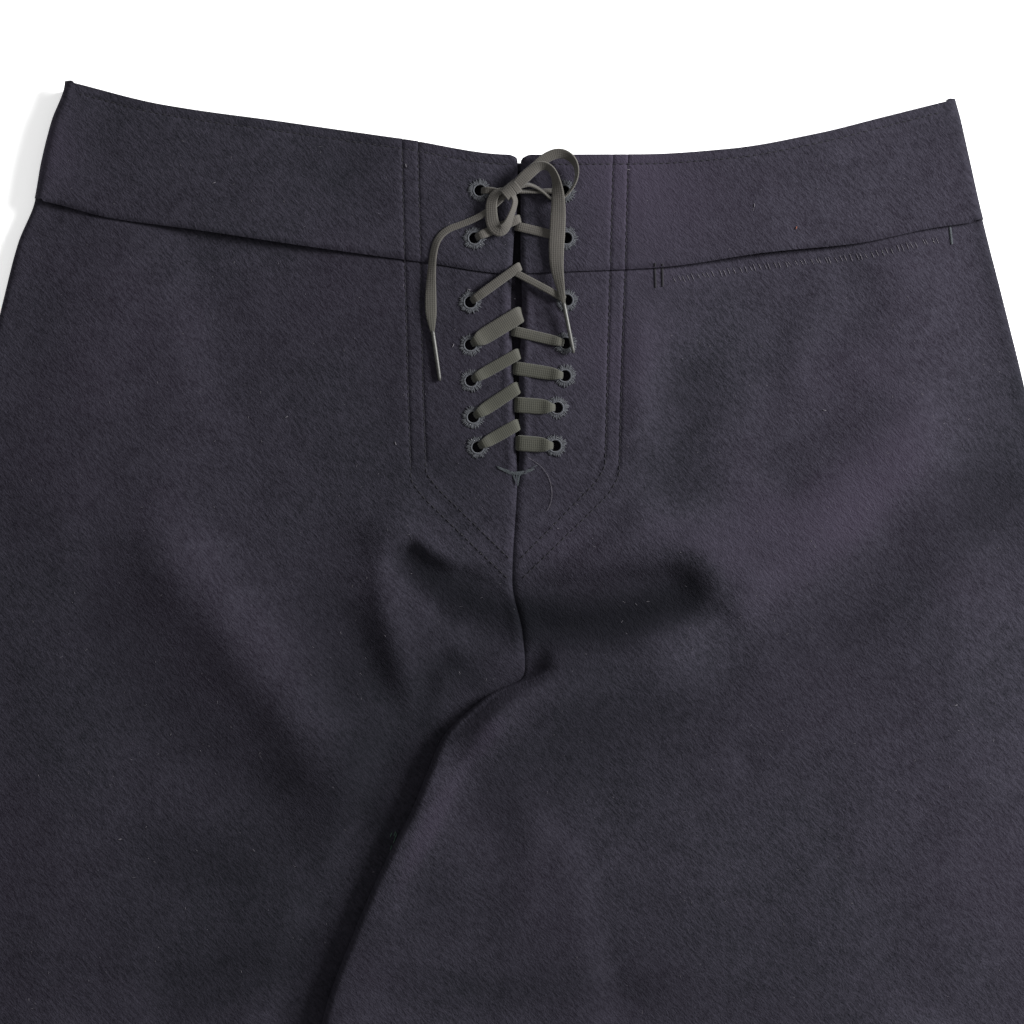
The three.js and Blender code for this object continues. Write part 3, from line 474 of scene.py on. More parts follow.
class Lie:
    """How the trousers lie: their outline from above and the height of each layer."""

    crotch = 205.0
    fold_start = 271.0
    crossing_end = -335.0
    crossing_fade = 75.0
    crossing_reach = 34.0
    crossing_ease = 26.0
    crossing_rise = 30.0
    seam_mean = 460.0
    seam_fade = 130.0
    seam_half = 0.15
    tuck = 2.6
    tuck_reach = 16.0
    tuck_rise = 4.0
    opening_foot = 352.0
    facing_half = 62.0
    facing_foot = 308.0
    wave_count = 14
    wave_lengths = (26, 90)
    wave_height = 0.075

    def __init__(self) -> None:
        """Reads the tables."""
        self.layers = Layers()
        self.flap = FlapRoom()
        self.press = Press()
        self.easing = Easing()
        self.shading = Shading()
        self.side_left, self.side_right = tracks(SIDES)
        self.middle_left, self.middle_right, self.tuck_end = tracks(MIDDLE)
        (self.waist_edge,) = tracks(WAIST_EDGE)
        (self.waist_seam,) = tracks(WAIST_SEAM)
        self.height_left, self.height_right = tracks(MIDDLE_HEIGHTS)
        self.facing = {key: np.array(line) for key, line in FACING.items()}
        chance = np.random.default_rng(4)
        turn = 2 * np.pi
        self.waves = [
            (chance.uniform(0, turn), turn / chance.uniform(*self.wave_lengths), chance.uniform(0, turn))
            for _ in range(self.wave_count)
        ]

    def side(self, side: Side) -> Track:
        """The garment's outer edge on one side."""
        return self.side_left if side is Side.LEFT else self.side_right

    def middle(self, side: Side) -> Track:
        """The inner edge of the back on one side."""
        return self.middle_left if side is Side.LEFT else self.middle_right

    def facing_track(self, side: Side, row: int) -> Track:
        """The straight upper part of a row of the facing's stitching, as x at each y."""
        line = self.facing[(side, row)][:4]
        return Track(line[:, 1], line[:, 0])

    def ramp_start(self, y: Array) -> Array:
        """Half the width over which the front panels stand off fully."""
        flap = self.flap
        share = np.clip((flap.top - y) / (flap.top - flap.foot), 0, 1)
        return mix(flap.half_top, flap.half_foot, share) + flap.clear

    def ramp_end(self, y: Array) -> Array:
        """Half the width beyond which the front panels lie on the surface."""
        return self.ramp_start(y) + self.flap.ramp

    def flap_lift(self, x: Array, y: Array) -> Array:
        """How far the front panels stand off the surface over the buttoned flap."""
        clear = np.maximum(np.abs(x) - self.ramp_start(y), self.flap.foot - self.flap.clear - y)
        return self.layers.front_lift * (1 - smooth(clear / self.flap.ramp))

    def crossing(self, y: Array) -> Array:
        """The share of the full lift that the crossing legs have at y."""
        return smooth((y - self.crossing_end + self.crossing_fade) / self.crossing_fade)

    def crossing_lift(self, x: Array, y: Array) -> Array:
        """How far the right leg's lower layer stands off the surface over the left leg."""
        edge = self.middle_left(np.minimum(y, self.crotch))
        across = smooth((edge + self.crossing_reach - x) / self.crossing_ease)
        above = smooth((self.crotch + self.crossing_reach - y) / self.crossing_rise)
        return self.layers.crossing_lift * across * above * self.crossing(y)

    def unrest(self, x: Array, y: Array) -> Array:
        """The slight uneven lie of laid cloth."""
        total = np.zeros(np.shape(x))
        for heading, rate, phase in self.waves:
            total += np.sin((x * math.cos(heading) + y * math.sin(heading)) * rate + phase)
        return total * self.wave_height

    def painted_shade(self, x: Array, y: Array) -> Array:
        """How much painted shade the cloth gets: above 1 in the deepest crease, 0 on the flat, below 0, as
        painted highlight, on crests.
        """
        look = self.shading
        # painted shade in the folds' valleys and painted highlight on their ridges
        folded = sum(fold.lift(x, y) * (look.valley if fold.rise < 0 else look.ridge) for fold in FOLDS)
        # painted shadow on the left leg beside the rolled right leg
        off_roll = np.maximum(self.middle_right(y) - x, 0)
        below = (off_roll > 0) * smooth((look.roll_start - y) / look.roll_ease)
        # painted shade and painted light in round patches
        patched_shade = sum(patch.shade(x, y) for patch in PAINTED_PATCHES)
        shaded = sum(stroke.lift(x, y) for stroke in STROKES)
        # painted shade along the right leg's turned outer edge
        turned = look.painted_rim_shade.at(self.side_right(y) - x)
        total = np.minimum(folded, look.most_folded) + look.roll.at(off_roll) * below + patched_shade
        total = total + shaded + turned
        return look.deepest * np.tanh(total / look.deepest)

    def relaxed(self, x: Array, y: Array, from_side: Array, from_middle: Array, middle: Array) -> Array:
        """Middle height of an upper layer before anything under it pushes it up.

        Args:
            x: Places across.
            y: Places along.
            from_side: How far they are from the outer edge.
            from_middle: How far they are from the inner edge.
            middle: The height at the inner edge.

        Returns:
            The heights.
        """
        ease = self.easing
        loft = self.layers.side_middle + self.layers.leg_loft * smooth(from_side / ease.loft)
        start = ease.facing * smooth((y - ease.facing_foot) / ease.facing_fade)
        settled = smooth((from_middle - start) / ease.middle)
        calm = smooth(from_side / ease.side_folds) * smooth((from_middle - start) / ease.middle_folds)
        large = sum(fold.lift(x, y) for fold in FOLDS)
        small = sum(fold.lift(x, y) for fold in SMALL_FOLDS) + self.unrest(x, y)
        return mix(middle, loft, settled) + large * calm + small * smooth(from_side / ease.small_folds)

    def left(self, x: Array, y: Array) -> Array:
        """Middle height of the left leg's upper layer."""
        layers = self.layers
        relaxed = self.relaxed(x, y, x - self.side_left(y), self.middle_left(y) - x, self.height_left(y))
        covered = smooth((x - self.middle_right(y) + 36) / 20) * smooth((self.fold_start + 12 - y) / 16)
        uncrossed = smooth((self.crossing_end - y) / 40)
        height = mix(relaxed, layers.crossed, covered * (1 - uncrossed))
        return soft_top(height, self.flap_lift(x, y) + layers.cloth * 1.5 + layers.gap)

    def right(self, x: Array, y: Array) -> Array:
        """Middle height of the right leg's upper layer."""
        layers = self.layers
        relaxed = self.relaxed(x, y, self.side_right(y) - x, x - self.middle_right(y), self.height_right(y))
        under = np.maximum(self.flap_lift(x, y), self.crossing_lift(x, y) + 1)
        return soft_top(relaxed, under + layers.cloth * 1.5 + layers.gap)

    def band(self, side: Side, x: Array, y: Array) -> Array:
        """Middle height of the waistband's upper layer."""
        layers = self.layers
        turned = layers.band / 2 + layers.band_roll
        rise = smooth((np.abs(x - self.side(side)(y)) - turned) / 110)
        height = mix(layers.band_side_middle, layers.back_under + layers.band / 2, rise)
        return height + self.unrest(x, y) * 0.6

    def pressed(self, x: Array, y: Array) -> Array:
        """How far seams and rows of stitching press the cloth down."""
        press = self.press
        total = np.zeros(np.shape(x))
        near = (np.abs(x) < self.facing_half) & (y > self.facing_foot)
        if near.any():
            for line in self.facing.values():
                total[near] += press.facing.at(distance_to(line, x[near], y[near])[0])
        total += press.waist.at(y - (self.waist_edge(x) - WAIST_ROW))
        seam = self.waist_seam(x)
        on_leg = y <= seam
        mouth = smooth((x - POCKET[0]) / press.mouth_ease) * smooth((POCKET[1] - x) / press.mouth_ease)
        reach = np.where(on_leg, mix(press.leg_reach, press.mouth_reach, mouth), press.band_reach)
        depth = np.where(on_leg, mix(press.leg_depth, press.mouth_depth, mouth), press.band_depth)
        total += depth * (1 - smooth(np.abs(y - seam) / reach))
        for below in press.pocket_rows:
            total += mouth * on_leg * press.pocket.at(seam - y - below)
        return total

    def seat_dip(self, from_seam: Array, y: Array) -> Array:
        """How far the cloth dips beside the opening and along the seat seam."""
        open_share = smooth((y - self.opening_foot) / 8)
        roll = 0.55 * np.exp(-(((from_seam - 2.8) / 1.3) ** 2)) * open_share
        edge = mix(0.5, 1.1, open_share) * (1 - smooth(from_seam / mix(1.1, 1.8, open_share)))
        seam = 0.5 * (1 - smooth(from_seam / 3.2)) * (1 - open_share) * smooth((y - self.fold_start) / 8)
        return edge + seam - roll

    def row(self, level: Array, x: Array) -> Array:
        """The level of a leg's row at x, which follows the waist seam at the top and is straight below."""
        share = smooth((level - (self.seam_mean - self.seam_fade)) / self.seam_fade)
        from_side = np.minimum(x - self.side_left(level), self.side_right(level) - x)
        at_seam = smooth((level - self.seam_mean + self.tuck_rise) / self.tuck_rise)
        tucked = self.tuck * (1 - smooth(from_side / self.tuck_reach)) * at_seam
        return level + (self.waist_seam(x) - self.seam_half - self.seam_mean) * share + tucked

    def side_turns(
        self, x: Array, y: Array, inward: int, radius: float, thickness: float, angles: Sequence[float]
    ) -> list[Array]:
        """One column of a side seam's turn for each of the angles. See side_turn."""
        return [self.side_turn(x, y, inward, radius, thickness, angle) for angle in angles]

    def side_turn(
        self, x: Array, y: Array, inward: int, radius: float, thickness: float, angle: float
    ) -> Array:
        """The cloth's quarter turn at a side seam.

        Args:
            x: The outer edge.
            y: The level.
            inward: The sign of x towards the middle.
            radius: Radius of the turn.
            thickness: Thickness of the cloth.
            angle: 0 at its end over the front, a right angle on its upper side.

        Returns:
            Points as rows of x, y and z.
        """
        reach = thickness / 2 + radius * (1 - math.cos(angle))
        end = thickness * (1 + self.layers.turn_slack) + self.layers.gap + self.flap_lift(x, y)
        return np.stack([x + inward * reach, y, end + radius * math.sin(angle)], axis=-1)

    def top(self, x: Array, y: Array) -> Array:
        """Height of the back's upper side at places x, y."""
        on_left = x < self.middle_left(y) + 1.4
        leg = np.where(on_left, self.left(x, y), self.right(x, y)) + self.layers.cloth / 2
        band = np.where(on_left, self.band(Side.LEFT, x, y), self.band(Side.RIGHT, x, y))
        band = band + self.layers.band / 2
        return np.where(y > self.waist_seam(x), band, leg) - self.pressed(x, y)

    def on_top(self, places: Rows, lift: float) -> Array:
        """Places of x and y set a little above the back's upper side.

        Args:
            places: Rows that begin with x and y.
            lift: How far above it they are.

        Returns:
            Rows of x, y and z.
        """
        flat = np.array(places, float)[:, :2]
        return np.concatenate([flat, self.top(flat[:, 0], flat[:, 1])[:, None] + lift], axis=1)


LIE = Lie()


def crossing(column: Reader, row: Reader, shape: tuple[int, ...]) -> tuple[Array, Array]:
    """Where columns, given as x for each y, meet rows, given as y for each x."""
    y = row(np.zeros(shape))
    x = np.zeros(shape)
    for _ in range(6):
        x = column(y)
        y = row(x)
    return x, y


def shifted(reader: Reader, by: float | Array, sign: int = 1) -> Reader:
    """The same column moved across by a distance, and mirrored first where the sign is -1."""

    def moved(y: Array) -> Array:
        """x of the moved column at each y."""
        return sign * reader(y) + by

    return moved


def shares_between(stops: Sequence[Reader], counts: Sequence[int]) -> tuple[Reader, int]:
    """Columns across a panel, evenly spaced between one stop and the next.

    Args:
        stops: x of each stop at each y.
        counts: How many columns lie between one stop and the next.

    Returns:
        x of every column at each y, and the number of columns.
    """
    parts = [(0, np.array([0.0]))] + [(k, np.arange(1, n + 1) / n) for k, n in enumerate(counts)]
    owner = np.concatenate([np.full(len(share), k) for k, share in parts])
    share = np.concatenate([s for _, s in parts])

    def column(y: Array) -> Array:
        """x of each column at each y."""
        limits = np.stack([stop(y) for stop in stops])
        low = np.take_along_axis(limits, np.broadcast_to(owner, y.shape)[None], 0)[0]
        high = np.take_along_axis(limits, np.broadcast_to(owner + 1, y.shape)[None], 0)[0]
        return mix(low, high, share)

    return column, len(owner)


def graded(stops: Sequence[Point], start: float) -> Array:
    """Levels from start through each stop of (level, pitch)."""
    levels = [np.array([start])]
    for level, pitch in stops:
        count = max(1, round(abs(level - levels[-1][-1]) / pitch))
        levels.append(np.linspace(levels[-1][-1], level, count + 1)[1:])
    return np.concatenate(levels)


def run_along(path: Array) -> Array:
    """How far along a path each of its points lies."""
    return np.concatenate([[0.0], np.cumsum(np.linalg.norm(np.diff(path, axis=0), axis=1))])


class Piece:
    """Makes a named object at the origin from a bmesh or from a laid-out grid."""

    @staticmethod
    def from_form(name: str, form: Form) -> Thing:
        """Makes a smoothly shaded object of a bmesh in metres and frees it."""
        for face in form.faces:
            face.smooth = True
        mesh = bpy.data.meshes.new(name)
        form.to_mesh(mesh)
        form.free()
        made = bpy.data.objects.new(name, mesh)
        bpy.context.scene.collection.objects.link(made)
        return made

    @staticmethod
    def grid(name: str, points: Array, uv: Array, painted_shade: Reader | None = None) -> Thing:
        """Makes a grid and lays its corners out.

        Args:
            name: The object's name.
            points: Places of its corners in millimetres, by row and column, rows up the garment.
            uv: The pattern's place at each corner, in metres.
            painted_shade: How much painted shade the cloth gets at x, y, with painted highlight below nought.

        Returns:
            The object, one layer of faces that look up.
        """
        rows, columns = points.shape[:2]
        form = bmesh.new()
        bmesh.ops.create_grid(form, x_segments=columns - 1, y_segments=rows - 1, size=1.0)
        made = Piece.from_form(name, form)
        mesh = made.data
        flat = np.empty(len(mesh.vertices) * 3)
        mesh.vertices.foreach_get("co", flat)
        places = (flat.reshape(-1, 3) + 1) / 2
        column = np.rint(places[:, 0] * (columns - 1)).astype(int)
        row = np.rint(places[:, 1] * (rows - 1)).astype(int)
        mesh.vertices.foreach_set("co", (points[row, column] * MM).ravel())
        corner = np.empty(len(mesh.loops), int)
        mesh.loops.foreach_get("vertex_index", corner)
        layer = mesh.uv_layers.new(name="cloth")
        layer.data.foreach_set("uv", uv[row[corner], column[corner]].ravel())
        # keeps the painted shade, with painted highlight below nought, on the corners for the wool to read
        if painted_shade is not None:
            depth = mesh.attributes.new(name="painted_shade", type="FLOAT", domain="POINT")
            depth.data.foreach_set("value", painted_shade(points[row, column, 0], points[row, column, 1]))
        mesh.update()
        return made

    @staticmethod
    def cloth(name: str, points: Array, painted_shade: Reader | None = None) -> Thing:
        """Makes a panel of cloth whose pattern follows it round its turns. See grid."""
        steps = np.linalg.norm(np.diff(points[..., [0, 2]], axis=1), axis=2)
        run = np.concatenate([np.zeros((len(points), 1)), np.cumsum(steps, axis=1)], axis=1)
        middle = points.shape[1] // 2
        across = run - run[:, middle : middle + 1] + points[:, middle : middle + 1, 0]
        return Piece.grid(name, points, np.stack([across, points[..., 1]], axis=-1) * MM, painted_shade)

    @staticmethod
    def wall(made: Thing, thickness: float, edge: float = 0.45, segments: int = 2) -> None:
        """Gives a single layer its thickness, half to each side, and rounds its rim.

        Args:
            made: The object.
            thickness: In millimetres.
            edge: Width of the rounding in millimetres.
            segments: Faces across the rounding.
        """
        wall = made.modifiers.new("wall", "SOLIDIFY")
        wall.thickness = thickness * MM
        wall.offset = 0.0
        bevel = made.modifiers.new("edge", "BEVEL")
        bevel.width = edge * MM
        bevel.segments = segments
        bevel.limit_method = "ANGLE"
        bevel.angle_limit = math.radians(62)

    @staticmethod
    def soft_wall(made: Thing, thickness: float, levels: int) -> None:
        """Gives a lace its thickness and rounds it off all over.

        Args:
            made: The object.
            thickness: In millimetres.
            levels: How finely it is rounded.
        """
        wall = made.modifiers.new("wall", "SOLIDIFY")
        wall.thickness = thickness * MM
        wall.offset = 0.0
        soft = made.modifiers.new("soft", "SUBSURF")
        soft.levels = soft.render_levels = levels

    @staticmethod
    def cut(made: Thing, points: Array, rests_on: Sequence[str]) -> None:
        """Says what size the piece was cut to before it was laid out.

        Args:
            made: The piece.
            points: The places of its corners in millimetres, by row and column.
            rests_on: The pieces that it lies on; not used.
        """
        across, along = np.diff(points, axis=1), np.diff(points, axis=0)
        width = np.linalg.norm(across, axis=2).sum(axis=1).max()
        length = np.linalg.norm(along, axis=2).sum(axis=0).max()
        cells = np.cross(across[:-1], along[:, :-1])
        area = min(np.linalg.norm(cells, axis=2).sum(), width * length)
        LOG.info("%s: cut %.0f x %.0f mm, %.4f square metres", made.name, width, length, area * 1e-6)

    @staticmethod
    def finish(made: Thing, slot: Slot, material: Material, *nodes: str) -> Thing:
        """Dresses a piece, fixes it to the garment and hides the solids that it stands for.

        Args:
            made: The object.
            slot: The slot of its finish; not used.
            material: Its material.
            nodes: The solids that it stands for.

        Returns:
            The object.
        """
        made.data.materials.clear()
        made.data.materials.append(material)
        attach(made, "root")
        if nodes:
            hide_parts(*nodes)
        LOG.info("made %s", made.name)
        return made

    @staticmethod
    def sewn(name: str, form: Form, material: Material, *nodes: str) -> None:
        """Makes a piece of thread from a bmesh and dresses it."""
        Piece.finish(Piece.from_form(name, form), Slot.EYELET, material, *nodes)


class Value:
    """A number socket that takes part in sums."""

    def __init__(self, shader: "Shader", socket: Any) -> None:
        """Keeps the socket and the shader that it belongs to."""
        self.shader = shader
        self.socket = socket

    def _sum(self, operation: str, first: Any, second: Any = 0.0) -> "Value":
        """Adds a Math node of two inputs."""
        node = self.shader.node("ShaderNodeMath", {"operation": operation}, {0: first, 1: second})
        return Value(self.shader, node.outputs[0])

    def __add__(self, other: Any) -> "Value":
        """self + other"""
        return self._sum("ADD", self, other)

    def __mul__(self, other: Any) -> "Value":
        """self * other"""
        return self._sum("MULTIPLY", self, other)

    def __sub__(self, other: Any) -> "Value":
        """self - other"""
        return self._sum("SUBTRACT", self, other)

    def __rsub__(self, other: Any) -> "Value":
        """other - self"""
        return self._sum("SUBTRACT", other, self)

    __radd__ = __add__
    __rmul__ = __mul__

    def sine(self) -> "Value":
        """The sine of self."""
        return self._sum("SINE", self)

    def ramp(self, low: float, high: float, kind: str = "SMOOTHSTEP") -> "Value":
        """A step from 0 at low to 1 at high, soft unless it is LINEAR."""
        node = self.shader.node(
            "ShaderNodeMapRange", {"interpolation_type": kind}, {0: self, 1: low, 2: high, 3: 0.0, 4: 1.0}
        )
        return Value(self.shader, node.outputs[0])


class Shader:
    """Builds one material's nodes."""

    def __init__(self, name: str) -> None:
        """Starts a material with its surface shader."""
        self.material = bpy.data.materials.new(name)
        self.material.use_nodes = True
        self.tree = self.material.node_tree
        self.surface = next(n for n in self.tree.nodes if n.type == "BSDF_PRINCIPLED")

    def node(self, kind: str, settings: dict[str, Any], values: dict[Any, Any]) -> Any:
        """Adds a node.

        Args:
            kind: The node's type.
            settings: Its properties, set first.
            values: Its inputs by name or number, each a value, a Value or a socket.

        Returns:
            The node.
        """
        made = self.tree.nodes.new(kind)
        for key, value in settings.items():
            setattr(made, key, value)
        for key, value in values.items():
            self.feed(made.inputs[key], value)
        return made

    def feed(self, socket: Any, value: Any) -> None:
        """Sets or links one input."""
        if isinstance(value, Value):
            value = value.socket
        if isinstance(value, bpy.types.NodeSocket):
            self.tree.links.new(value, socket)
        else:
            socket.default_value = value

    def place(self, output: str) -> Any:
        """The socket of the surface's own places."""
        return self.node("ShaderNodeTexCoord", {}, {}).outputs[output]

    def turned(self, place: Any, scale: tuple[float, float, float], angle: float = 0.0) -> Any:
        """Places turned about Z and then stretched."""
        turn = self.node("ShaderNodeMapping", {}, {"Vector": place, "Rotation": (0.0, 0.0, angle)})
        return self.node("ShaderNodeMapping", {}, {"Vector": turn.outputs[0], "Scale": scale}).outputs[0]

    def noise(self, place: Any, scale: float, detail: float = 2.0, rough: float = 0.5) -> Value:
        """Smooth noise from 0 to 1."""
        made = self.node(
            "ShaderNodeTexNoise", {}, {"Vector": place, "Scale": scale, "Detail": detail, "Roughness": rough}
        )
        return Value(self, made.outputs[0])

    def blend(self, share: Any, low: Any, high: Any) -> Any:
        """A colour between two, as a socket."""
        made = self.node("ShaderNodeMix", {"data_type": "RGBA"}, {0: share, 6: low, 7: high})
        return made.outputs[2]

    def bump(self, height: Any, distance: float, strength: float) -> None:
        """Roughens the surface by a height."""
        made = self.node("ShaderNodeBump", {}, {"Height": height, "Distance": distance, "Strength": strength})
        self.feed(self.surface.inputs["Normal"], made.outputs[0])

    def settle(self, values: dict[str, Any]) -> Material:
        """Sets the surface shader's inputs and hands back the material."""
        for key, value in values.items():
            self.feed(self.surface.inputs[key], value)
        return self.material


def linear(level: float) -> float:
    """The light of one colour channel given as a screen shows it, 0 to 255."""
    return ((level / 255 + 0.055) / 1.055) ** 2.4 if level > 10 else level / 255 / 12.92


def tone(red: float, green: float, blue: float) -> Colour:
    """A colour given as a screen shows it, as the shader takes it."""
    return linear(red), linear(green), linear(blue), 1.0


@dataclass(frozen=True)
class Wool:
    """Napped melton: a soft twill under a brushed pile, with slanting streaks, and painted shade in its
    creases and painted highlight on its crests.
    """

    name: str = "melton_wool"
    deep: Colour = tone(19, 20, 24)
    pale: Colour = tone(53, 51, 60)
    warm: Colour = tone(26, 22, 30)
    # painted shade colour for creases and shadowed patches
    shade: Colour = tone(7, 9, 12)
    # painted highlight colour for crests
    crest_highlight: Colour = tone(58, 52, 65)
    slant: float = math.radians(47)

    def material(self) -> Material:
        """Builds the material."""
        shader = Shader(self.name)
        place = shader.place("UV")
        streak = shader.noise(shader.turned(place, (230.0, 720.0, 1.0), self.slant), 1.0, 3.0, 0.65)
        fuzz = shader.noise(shader.turned(place, (900.0, 1500.0, 1.0), self.slant), 1.0, 2.0, 0.7)
        cloud = shader.noise(place, 70.0, 4.0, 0.65)
        drift = shader.noise(place, 9.0, 2.0, 0.5)
        share = streak.ramp(0.32, 0.68) * 0.42 + fuzz.ramp(0.32, 0.68) * 0.38 + cloud.ramp(0.3, 0.7) * 0.2
        shader.bump(streak * 0.55 + fuzz * 0.6, 0.0011, 0.55)
        hue = shader.blend(drift.ramp(0.35, 0.65), self.deep, self.warm)
        cloth = shader.blend(share, hue, self.pale)
        # the cloth's painted shade, painted highlight below nought
        painted_shade = shader.node("ShaderNodeAttribute", {"attribute_name": "painted_shade"}, {})
        depth = Value(shader, painted_shade.outputs["Fac"])
        lit = shader.blend((0.0 - depth).ramp(0.0, 1.0, "LINEAR"), cloth, self.crest_highlight)
        return shader.settle({
            "Base Color": shader.blend(depth.ramp(0.0, 1.3, "LINEAR") * 0.9, lit, self.shade),
            "Roughness": 0.86 + cloud * 0.14,
            "Specular IOR Level": 0.06,
            "Sheen Weight": 0.03,
            "Sheen Roughness": 0.55,
            "Sheen Tint": tone(176, 168, 200),
        })


@dataclass(frozen=True)
class Spun:
    """Spun thread, fuzzy and matt."""

    name: str
    deep: Colour
    pale: Colour
    sheen: float = 0.2

    def material(self) -> Material:
        """Builds the material."""
        shader = Shader(self.name)
        place = shader.place("Object")
        fuzz = shader.noise(place, 2600.0, 2.0, 0.7)
        patch = shader.noise(place, 420.0, 2.0, 0.5)
        shader.bump(fuzz, 0.0004, 0.5)
        return shader.settle({
            "Base Color": shader.blend(fuzz.ramp(0.3, 0.7) * 0.6 + patch * 0.4, self.deep, self.pale),
            "Roughness": 0.8 + patch * 0.15,
            "Specular IOR Level": 0.25,
            "Sheen Weight": self.sheen,
        })


@dataclass(frozen=True)
class Braid:
    """A flat braided cotton lace, its strands crossing aslant, darker and more olive towards its lower runs.
    """

    name: str = "braided_lace"
    deep: Colour = tone(24, 24, 22)
    pale: Colour = tone(82, 78, 73)
    lower_tone: Colour = tone(62, 62, 52)
    pitch: float = 0.0018

    def material(self) -> Material:
        """Builds the material."""
        shader = Shader(self.name)
        place = shader.place("UV")
        parts = shader.node("ShaderNodeSeparateXYZ", {}, {0: place})
        along, across = Value(shader, parts.outputs[0]), Value(shader, parts.outputs[1])
        turn = 2 * math.pi / self.pitch
        slant = (along * turn + across * (turn * 0.9)).sine() * (along * turn - across * (turn * 0.9)).sine()
        braid = slant * 0.5 + 0.5
        fuzz = shader.noise(place, 2400.0, 2.0, 0.7)
        patch = shader.noise(place, 160.0, 3.0, 0.6)
        shader.bump(braid * 0.6 + fuzz * 0.6, 0.00035, 0.5)
        height = shader.node("ShaderNodeSeparateXYZ", {}, {0: shader.place("Object")}).outputs[1]
        # darker and more olive towards the lower runs
        tone_by_height = shader.blend(Value(shader, height).ramp(0.395, 0.46), self.lower_tone, self.pale)
        return shader.settle({
            "Base Color": shader.blend(braid * 0.17 + fuzz * 0.48 + patch * 0.4, self.deep, tone_by_height),
            "Roughness": 0.72 + fuzz * 0.2,
            "Specular IOR Level": 0.35,
            "Sheen Weight": 0.15,
        })


@dataclass(frozen=True)
class Smooth:
    """A plain moulded or lacquered finish with slight wear."""

    name: str
    deep: Colour
    pale: Colour
    rough: float

    def material(self) -> Material:
        """Builds the material."""
        shader = Shader(self.name)
        place = shader.place("Object")
        wear = shader.noise(place, 900.0, 3.0, 0.6)
        cloud = shader.noise(place, 120.0, 2.0, 0.5)
        shader.bump(wear, 0.0001, 0.3)
        return shader.settle({
            "Base Color": shader.blend(wear.ramp(0.4, 0.8) * 0.5 + cloud * 0.4, self.deep, self.pale),
            "Roughness": self.rough + cloud * 0.12,
        })


class Finishes:
    """The garment's materials, each made once."""

    def __init__(self) -> None:
        """Builds them all."""
        self.wool = Wool().material()
        # a darker copy of the wool for the gusset and flap: painted shade for the shadow they lie in under
        # the backs
        self.painted_dark_wool = Wool("painted_dark_wool", tone(9, 9, 12), tone(24, 23, 28)).material()
        self.seam_thread = Spun("seam_thread", tone(14, 14, 18), tone(36, 34, 40), 0.04).material()
        self.eyelet_thread = Spun("eyelet_thread", tone(33, 34, 38), tone(86, 88, 93), 0.08).material()
        self.tack_thread = Spun("tack_thread", tone(28, 31, 34), tone(64, 69, 73), 0.1).material()
        self.lint = Spun("lint", tone(58, 56, 62), tone(112, 108, 114), 0.1).material()
        self.rust = Spun("rust_fibre", tone(76, 42, 32), tone(126, 70, 52)).material()
        self.green = Spun("green_thread", tone(20, 48, 40), tone(52, 92, 76)).material()
        self.lace = Braid().material()
        self.resin = Smooth("button_resin", tone(18, 18, 24), tone(30, 30, 38), 0.32).material()
        self.tip = Smooth("lace_tip", tone(36, 36, 34), tone(74, 74, 70), 0.42).material()


def resampled(line: Array, pitch: float) -> Array:
    """Rows set out evenly along a line, its other columns carried with them.

    Args:
        line: Rows that begin with x, y and z.
        pitch: The distance between rows.

    Returns:
        The new rows.
    """
    run = run_along(line[:, :3])
    at = np.linspace(0, run[-1], max(4, round(run[-1] / pitch) + 1))
    return np.stack([np.interp(at, run, line[:, k]) for k in range(line.shape[1])], axis=1)


def rounded(line: Array, passes: int = 3) -> Array:
    """Cuts the corners of a line again and again, with its ends kept."""
    for _ in range(passes):
        near = line[:-1] * 0.75 + line[1:] * 0.25
        far = line[:-1] * 0.25 + line[1:] * 0.75
        cut = np.stack([near, far], axis=1).reshape(-1, line.shape[1])
        line = np.concatenate([line[:1], cut[1:-1], line[-1:]])
    return line


